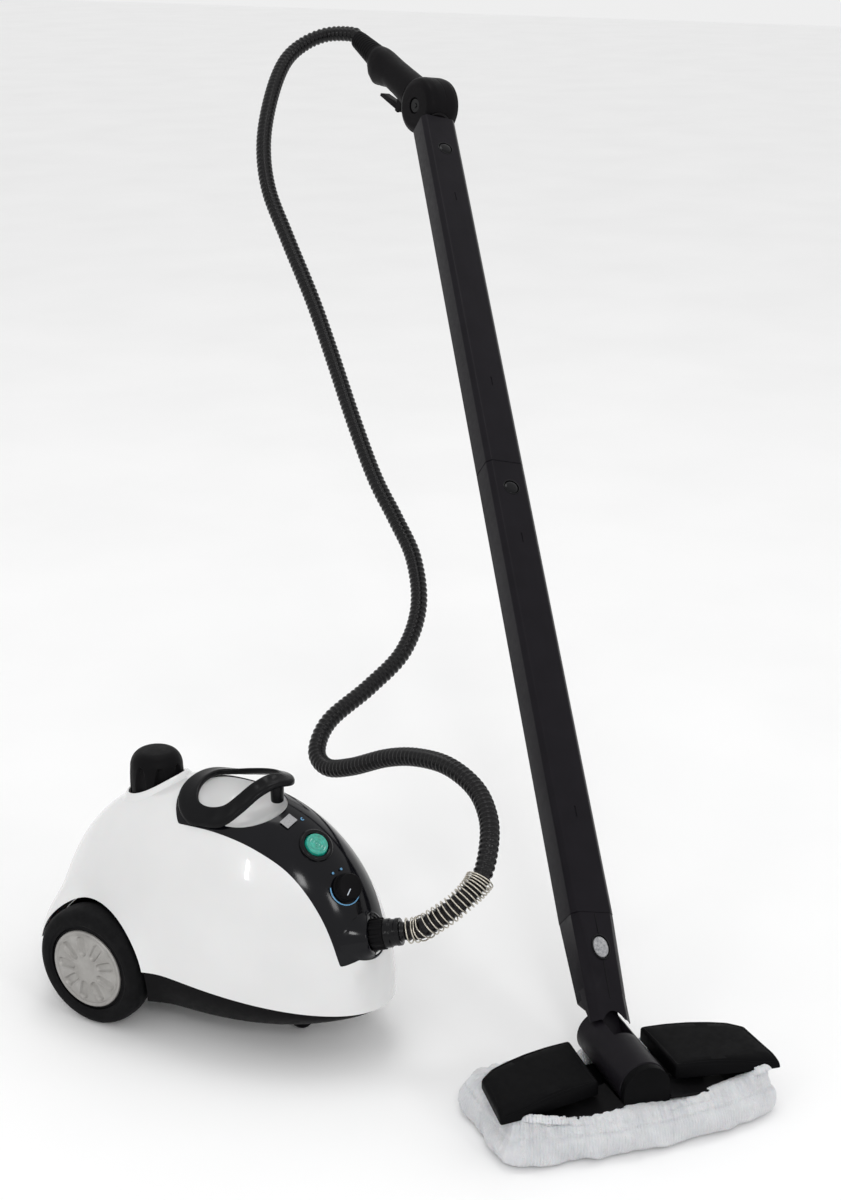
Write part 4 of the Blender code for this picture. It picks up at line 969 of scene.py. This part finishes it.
def tube_piece(name, low, high, node):
    """A chamfered tube with rounded end lips and a hollow inside."""
    wall, c = 0.0022, 0.005
    outer = []
    for z, out in ((low, -0.0006), (low + 0.0006, 0.0), (high - 0.0006, 0.0), (high, -0.0006)):
        outer.append(section(TUBE_HALF[0] + out, TUBE_HALF[1] + out, c, z))
    inner = [section(TUBE_HALF[0] - wall, TUBE_HALF[1] - wall, c - 0.4 * wall, z) for z in (high, low)]
    return loft(name, outer + inner, WAND_BLACK, closed=True, node=node, matrix=wand_matrix())


def latch(name, height, material, body, node, stretch=1.0):
    at = wand_matrix() @ turn_to((0, 1, 0), (0, -TUBE_HALF[1], height)) @ Matrix.Diagonal((1, stretch, 1, 1))
    face = [(0.0, -0.0010), (0.0040, -0.0009), (0.0062, -0.0006), (0.0074, 0.0002)]
    face += [(0.0077, 0.0010), (0.0077, 0.0034), (0.0, 0.0034)]
    lathe(f"{name}_face", face, material, 64, body=body, node=node, matrix=at)
    rim = [(0.0083, -0.0006), (0.0094, -0.0004), (0.0096, 0.0004), (0.0083, 0.0014)]
    lathe(f"{name}_rim", round_corners(rim, 0.0003, 2, closed=True), GLOSS, 64, closed=True, matrix=at)


def barrel_clearance(x, y):
    """How high a point beside the wand's axis must stay to clear the barrel at every pitch."""
    reach = BARREL_RADIUS + 0.0008
    to_wand = wand_matrix().inverted().to_3x3() @ barrel_matrix().to_3x3()
    highest = 0.016
    for pitch in range(-15, 25, 5):
        axis = to_wand @ Matrix.Rotation(math.radians(pitch), 3, "X") @ Vector((0, 1, 0))
        along, slant = x * axis.x + y * axis.y, 1 - axis.z**2
        room = (along * axis.z) ** 2 + slant * (reach**2 - x**2 - y**2 + along**2)
        if room > 0:
            highest = max(highest, (along * axis.z + math.sqrt(room)) / slant)
    return highest


def make_neck_skirt():
    """The neck's lower end, a saddle over the barrel."""
    foot = even_loop([Vector(p[:2]) for p in section(0.0200, 0.0165, 0.007, 0.0)], 160)[0]
    rings = []
    for share in (0.05, 0.3, 0.6, 0.85, 0.97, 1.0):
        rings.append([(x * share, y * share, barrel_clearance(x * share, y * share)) for x, y in foot])
    low = rings[-1]
    rings.append([(x, y, max(0.0410, z + 0.001)) for x, y, z in low])
    rings.append([(x * 1.012, y * 1.012, max(0.0500, z + 0.003)) for x, y, z in low])
    loft("neck_skirt", rings, WAND_BLACK, matrix=wand_matrix(), sharp=40)


def make_wand():
    lower = tube_piece("lower_tube", NECK_TOP + GAP, JOINT - GAP, "tube_lower")
    upper = tube_piece("upper_tube", JOINT, TUBE_TOP, "tube_upper")
    for tube, place in ((lower, "low"), (upper, "high")):
        hole = wand_matrix() @ turn_to((0, 1, 0), (0, -TUBE_HALF[1], LATCH_HEIGHTS[place]))
        cut(tube, rod_cutter(0.0082, -0.003, 0.009, hole, 64))
        for z in TUBE_SEAMS[place]:
            slot = wand_matrix() @ Matrix.Translation((0.001, -TUBE_HALF[1], z))
            cut(tube, cutter(box_rings((-0.0007, -0.002, -0.006), (0.0007, 0.0007, 0.006)), slot))
        resharpen(tube, 25)
    latch("latch_low", LATCH_HEIGHTS["low"], GLOSS, "latch_button_lower", "latch_lower")
    latch("latch_high", LATCH_HEIGHTS["high"], GLOSS, "latch_button_upper", "latch_upper")
    latch("latch_end", LATCH_HEIGHTS["end"], MOTTLED, "latch_button_neck", "latch_neck", 1.35)
    refined("neck_socket", WAND_BLACK, ROOT, 0.0009, 3)
    make_neck_skirt()
    lines = {"low": ((0.036, 0.0164), (0.041, 0.0166), (0.073, 0.0174))}
    lines["high"] = ((0.099, 0.0183), (0.119, TUBE_HALF[1]))
    bar = ((-0.00035, 0.0006), (-0.00035, -0.0003), (0.00035, -0.0003), (0.00035, 0.0006))
    for place, stations in lines.items():
        rings = [[(x, y - front, z) for x, y in bar] for z, front in stations]
        loft(f"neck_seam_{place}", rings, GLOSS, matrix=wand_matrix())
    for node in ("spigot_lower", "spigot_upper"):
        refined(node, SOFT_BLACK, ROOT, 0.0003)
    refined("gun_nozzle", GUN_BLACK, ROOT, 0.0006)
    refined("neck_pin", STEEL, "swivel", 0.0003)


def grip_section(z, half, front, back, side, count=28, power=0.86):
    """Half a section of the grip, flat on the side where the two shells meet."""
    ring = []
    for i in range(count + 1):
        a = math.pi * (i / count - 0.5)
        reach = back if a > 0 else front
        x = side * (GAP / 2 + half * max(0.0, math.cos(a)) ** power)
        ring.append((x, math.copysign(reach * abs(math.sin(a)) ** power, a), z))
    return ring


def make_gun():
    at = gun_matrix()
    drum = at @ turn_to((1, 0, 0), (0, 0, 0))
    r = KNUCKLE_RADIUS
    half = [(0.0, 0.0235), (r - 0.0085, 0.0235), (r - 0.002, 0.0195), (r, 0.0120), (r, 0.0006)]
    outline = [(x, -z) for x, z in half] + [(r - 0.0005, 0.0)] + half[::-1]
    knuckle = lathe("knuckle", round_corners(outline, 0.0025, 5), GUN_BLACK, 120, node="gun_knuckle", matrix=drum)
    cut(knuckle, rod_cutter(0.0098, -0.03, -0.0190, drum, 64))
    resharpen(knuckle, 30)
    screw = [(0.0, -0.0232), (0.0030, -0.0232), (0.0034, -0.0222), (0.0080, -0.0222)]
    screw += [(0.0088, -0.0214), (0.0088, -0.0193), (0.0, -0.0193)]
    lathe("knuckle_lock", screw, GLOSS, 64, node="gun_lock_screw", matrix=drum)
    stations = (
        (0.012, 0.0165, 0.0190, 0.0230),
        (0.022, 0.0180, 0.0205, 0.0240),
        (0.045, 0.0178, 0.0200, 0.0202),
        (0.065, 0.0172, 0.0190, 0.0190),
        (0.085, 0.0168, 0.0182, 0.0190),
        (0.100, 0.0170, 0.0180, 0.0245),
        (0.112, 0.0172, 0.0180, 0.0285),
        (0.122, 0.0165, 0.0172, 0.0250),
        (GRIP_END, 0.0150, 0.0160, 0.0185),
    )
    heights = np.linspace(stations[0][0], stations[-1][0], 40)
    table = np.array(stations)
    for side, name in ((-1, "right"), (1, "left")):
        rows = []
        for z in heights:
            rows.append(grip_section(z, *(np.interp(z, table[:, 0], table[:, k]) for k in (1, 2, 3)), side))
        shell = loft(f"grip_{name}", rows, GUN_BLACK, node=f"grip_shell_{name}", matrix=at)
        cut(shell, rod_cutter(r + GAP, -0.04, 0.04, drum, 120))
        cut(shell, cutter(box_rings((-0.0073, 0.0085, 0.0997), (0.0073, 0.04, 0.1073)), at))
        resharpen(shell, 40)
        lug = ((0.0165, 0.0425), (0.0320, 0.0445), (0.0320, 0.0500), (0.0165, 0.0530))
        rings = [[(x, y, z) for y, z in lug] for x in (side * 0.0070, side * 0.0098)]
        loft(f"trigger_lug_{name}", rings, GUN_BLACK, matrix=at)
    outline = [(0.0, GRIP_END + GAP), (0.0150, GRIP_END + GAP)]
    for k in range(9):
        z = 0.1315 + 0.0050 * k
        shrink = 0.0150 - 0.0038 * (z - GRIP_END) / (RELIEF_END - GRIP_END)
        outline += [(shrink, z), (shrink, z + 0.0026), (shrink - 0.0010, z + 0.0032), (shrink - 0.0010, z + 0.0044)]
    outline += [(0.0112, RELIEF_END), (0.0, RELIEF_END)]
    lathe("relief", outline, SOFT_BLACK, 64, node="gun_relief", matrix=at)
    refined("steam_trigger", GUN_BLACK, "trigger", 0.0010, 3)
    refined("trigger_lock", SEAL, "lock", 0.0006)


# ---------- floor head ----------


def head_outline(grow, count=64):
    """The floor head's plan, as even steps round it, from the rear right corner."""
    half, rear = HEAD_HALF + grow, 0.022 + grow
    points = [Vector((half - 0.008, rear)), Vector((half, rear - 0.008))]
    for k in range(count + 1):
        share = 1 - 2 * k / count
        points.append(Vector(((half - 0.006 * abs(share) ** 6) * share, -(0.068 + grow + 0.017 * (1 - share**2)))))
    points += [Vector((-half, rear - 0.008)), Vector((-half + 0.008, rear))]
    return points


def make_bonnet():
    """A terry pocket over the head: gathered along its elastic hem, folded at the sides and flat below."""
    count = 1100
    loop, around = even_loop(head_outline(0.0), count)
    ahead = np.roll(loop, -1, 0) - np.roll(loop, 1, 0)
    ahead /= np.linalg.norm(ahead, axis=1)[:, None]
    outward = np.stack([ahead[:, 1], -ahead[:, 0]], 1)
    outward *= np.sign((outward * (loop - loop.mean(0))).sum(1))[:, None]
    for _ in range(60):
        outward = (np.roll(outward, 1, 0) + outward + np.roll(outward, -1, 0)) / 3
    outward /= np.linalg.norm(outward, axis=1)[:, None]
    run = np.linspace(0, around, count, endpoint=False)
    profile = [(-0.0135, 0.0285), (-0.0125, 0.0335), (-0.0080, 0.0362), (-0.0030, 0.0362), (0.0010, 0.0345)]
    profile += [(0.0035, 0.0320), (0.0055, 0.0295), (0.0085, 0.0262), (0.0112, 0.0215), (0.0128, 0.0165)]
    profile += [(0.0132, 0.0115), (0.0125, 0.0070), (0.0105, 0.0032), (0.0070, 0.0010)]
    profile += [(0.0020, 0.0003), (-0.012, 0.0003)]
    fine = smooth_profile(profile, 64)
    rows = []
    for j, (grow, z) in enumerate(fine):
        share = j / (len(fine) - 1)
        hem = math.exp(-(((share - 0.25) / 0.17) ** 2))
        side = math.exp(-(((share - 0.62) / 0.20) ** 2))
        row = []
        for i in range(count):
            s = run[i]
            wander = noise.noise(Vector((s * 26, share * 1.4, 3.1)))
            gather = math.sin(2 * math.pi * (s / 0.0105 + 0.9 * wander + 0.5 * share))
            fold = noise.noise(Vector((s * 34 + 3.2 * share, share * 1.8, 7.7)))
            deep = noise.noise(Vector((s * 85 + 5.0 * share, share * 2.2, 1.3)))
            rib = math.sin(2 * math.pi * (s / 0.0026 + 0.35 * wander))
            fuzz = noise.noise(Vector((s * 900, share * 60, 0.5)))
            left = 1.5 if loop[i][0] < 0 else 1.0
            seam = math.exp(-(((share - 0.42) / 0.025) ** 2))
            push = hem * 0.0013 * gather - 0.0020 * seam + side * left * (0.0044 * fold + 0.0028 * deep)
            push += (0.00046 * rib + 0.00040 * fuzz) * (1 if share < 0.86 else 0.0)
            lift = hem * (0.0014 * fold + 0.0006 * gather) + 0.0005 * fuzz * hem
            sag = 0.0
            if share < 0.3:
                sag = 0.0050 * noise.noise(Vector((s * 19, 0.0, 5.5)))
            x, y = loop[i]
            raised = math.exp(-(((x + 0.094) / 0.024) ** 4)) + math.exp(-(((x - 0.117) / 0.013) ** 4))
            raised *= max(0.0, 1 - share / 0.42) if y < -0.05 else 0.0
            out = grow + push + raised * max(0.0, 0.0068 - grow)
            row.append((*(loop[i] + outward[i] * out), max(CLOTH_LOWEST, z + lift + sag + 0.0125 * raised)))
        rows.append(row)
    middle = loop.mean(0)
    for shrink in (0.8, 0.45, 0.1):
        row = []
        for i in range(count):
            p = middle + (loop[i] + outward[i] * -0.012 - middle) * shrink
            row.append((*p, CLOTH_LOWEST))
        rows.append(row)
    carried = {"body": "floor_head", "node": "cloth_bonnet", "matrix": head_matrix()}
    bonnet = loft("bonnet", rows, TERRY, caps=False, sharp=85, **carried)
    thick = bonnet.modifiers.new("cloth_thickness", "SOLIDIFY")
    thick.thickness = 0.0016
    thick.offset = -1.0


def smooth_profile(points, count):
    fine = curve_through(points, 10)
    steps = distances(fine)
    return spaced(fine, steps, np.linspace(0, steps[-1], count))


def wing_outline():
    rear = [(0.0345, 0.011), (0.057, 0.0098), (0.080, 0.0068), (0.100, 0.0020), (0.116, -0.0035)]
    outer = [(0.1285, -0.0135), (0.1335, -0.0730)]
    front = [(0.114, -0.0715), (0.096, -0.0685), (0.076, -0.0650), (0.055, -0.0615), (0.0365, -0.0585)]
    return rear + outer + front


def make_wing(side, name):
    """A clamp pad: a slightly crowned plate whose front slopes down to a rolled lip."""
    outline = round_corners([(x * side, y) for x, y in wing_outline()], 0.0022, 4, closed=True)
    outline = [tuple(p) for p in even_loop([Vector(p) for p in outline], 150)[0]]
    centre = Vector((0.082 * side, -0.030))

    def top(x, y, z):
        crown = 0.5 * (abs(x) - 0.034) ** 2
        nose = max(0.0, (-0.0600 - y) / 0.0135)
        return z - crown - 0.0045 * min(1.0, nose) ** 1.5

    rings = [[(x, y, 0.0412) for x, y in outline], [(x, y, 0.0425) for x, y in outline]]
    edge = [(0.0512, 0.0), (0.0530, 0.0006), (0.0540, 0.0016), (0.0545, 0.0032), (0.0541, 0.0042), (0.0543, 0.0052)]
    for z, pull in edge:
        ring = []
        for x, y in outline:
            p = Vector((x, y)) + (centre - Vector((x, y))).normalized() * pull
            ring.append((p.x, p.y, top(p.x, p.y, z)))
        rings.append(ring)
    for shrink in (0.84, 0.68, 0.5, 0.3, 0.1):
        inward = [centre + (Vector(q) - centre) * shrink for q in outline]
        rings.append([(p.x, p.y, top(p.x, p.y, 0.0548)) for p in inward])
    carried = {"body": f"wing_{name}", "node": f"clamp_wing_{name}", "matrix": head_matrix()}
    loft(f"wing_{name}_pad", rings, WING_BLACK, sharp=40, **carried)


def make_lip(side, name):
    """The thin dished shelf that runs from the barrel out under a wing's front edge."""
    rings = []
    steps = 18
    for k in range(steps + 1):
        share = k / steps
        x = side * (0.0225 + 0.062 * share)
        z = 0.0400 - 0.0085 * share**0.7
        front = -0.0800 + 0.0045 * share
        above = [(x, front, z), (x, front + 0.0010, z + 0.0012), (x, -0.040, z - 0.0012)]
        rings.append([*above, (x, -0.040, z - 0.0030), (x, front + 0.0006, z - 0.0016)])
    loft(f"lip_{name}", rings, SOFT_BLACK, body="floor_head", matrix=head_matrix(), sharp=30)


def make_head():
    refined("head_base", WING_BLACK, "floor_head", 0.0009, 3)
    at = barrel_matrix() @ turn_to((0, 1, 0), (0, 0, 0))
    r = BARREL_RADIUS
    outline = [(0.0, -0.0706), (r - 0.001, -0.0706), (r, -0.0696), (r, 0.0215), (r - 0.001, 0.0225), (0.0, 0.0225)]
    barrel = lathe("barrel", outline, WAND_BLACK, 120, body="swivel", node="swivel_barrel", matrix=at)
    cut(barrel, cutter(box_rings((-0.0100, -0.0200, -0.0170), (0.0100, 0.0400, 0.0400)), barrel_matrix()))
    resharpen(barrel, 30)
    for side, name in ((-1, "right"), (1, "left")):
        make_wing(side, name)
        make_lip(side, name)
    make_bonnet()


# ---------- what stays as CAD made it ----------


KEPT = {
    "boiler_tank": CAST,
    "heater_band": STEEL,
    "safety_valve": BRASS,
    "solenoid_valve": GREY,
    "steam_pipe": BRASS,
    "cap_plug": BRASS,
    "cap_seal": SEAL,
    "filler_neck": CAST,
    "switch_body": GREY,
    "steam_regulator": CAST,
    "rear_axle": STEEL,
    "caster_socket": STEEL,
    "microswitch": GREY,
}


def dress_kept_nodes():
    for node, material in KEPT.items():
        data = NODES[node].data
        data.materials.clear()
        data.materials.append(material)
        data.shade_smooth()
        data.set_sharp_from_angle(angle=math.radians(35))
    refined("cord_gland", SOFT_BLACK, ROOT, 0.0005, 2)
    refined("caster_fork", SOFT_BLACK, "caster_swivel", 0.0008, 2)
    refined("caster_wheel", TYRE, "caster_roller", 0.0008, 3)


# ---------- camera, lights and floor ----------


def make_camera():
    tilt = math.radians(19.6)
    look = Vector((0.8643 * math.cos(tilt), 0.5030 * math.cos(tilt), -math.sin(tilt)))
    data = bpy.data.cameras.new("camera")
    data.sensor_fit = "VERTICAL"
    data.sensor_height = 24.0
    data.lens = 24.0 * 2000 / 1200
    camera = bpy.data.objects.new("camera", data)
    bpy.context.scene.collection.objects.link(camera)
    camera.location = Vector((-1.3836, -1.1139, 1.026)) + ORIGIN
    camera.rotation_euler = look.to_track_quat("-Z", "Y").to_euler()
    bpy.context.scene.camera = camera


def area_light(name, location, target, size, power, color=(1, 1, 1)):
    data = bpy.data.lights.new(name, "AREA")
    data.shape = "RECTANGLE"
    data.size, data.size_y = size
    data.energy = power
    data.color = color
    light = bpy.data.objects.new(name, data)
    bpy.context.scene.collection.objects.link(light)
    light.location = location
    light.rotation_euler = (Vector(target) - Vector(location)).to_track_quat("-Z", "Y").to_euler()


def make_stage():
    bpy.context.scene.view_settings.view_transform = "Standard"
    world = bpy.data.worlds.new("studio")
    world.use_nodes = True
    world.node_tree.nodes["Background"].inputs["Color"].default_value = (1, 1, 1, 1)
    world.node_tree.nodes["Background"].inputs["Strength"].default_value = 0.86
    bpy.context.scene.world = world
    mesh = bpy.data.meshes.new("floor")
    size = 14
    mesh.from_pydata([(-size, -size, 0), (size, -size, 0), (size, size, 0), (-size, size, 0)], [], [(0, 1, 2, 3)])
    floor = bpy.data.objects.new("floor", mesh)
    bpy.context.scene.collection.objects.link(floor)
    paper = Nodes("floor_paper")
    paper.done(paper.ramp(paper.noise(3, 3), (0.93, 0.93, 0.93), (0.96, 0.96, 0.96)), Roughness=0.85)
    mesh.materials.append(paper.material)
    floor.location.z = -0.0004
    aim = (-0.3, 0.0, 0.25)
    area_light("key", (-2.6, -1.9, 2.3), aim, (0.42, 0.52), 12)
    area_light("strip", (-2.9, 0.2, 1.5), aim, (0.10, 0.7), 3)
    area_light("top", (0.2, 0.3, 3.2), (0, 0, 0), (1.2, 1.2), 14)
    area_light("front", (-1.3, -2.8, 1.5), aim, (0.40, 0.55), 8)


def main():
    make_camera()
    make_hose()
    make_housing()
    make_dish()
    make_tray()
    make_handle()
    make_cap()
    make_controls()
    make_outlet()
    make_wheels()
    make_wand()
    make_gun()
    make_head()
    dress_kept_nodes()
    make_stage()


main()
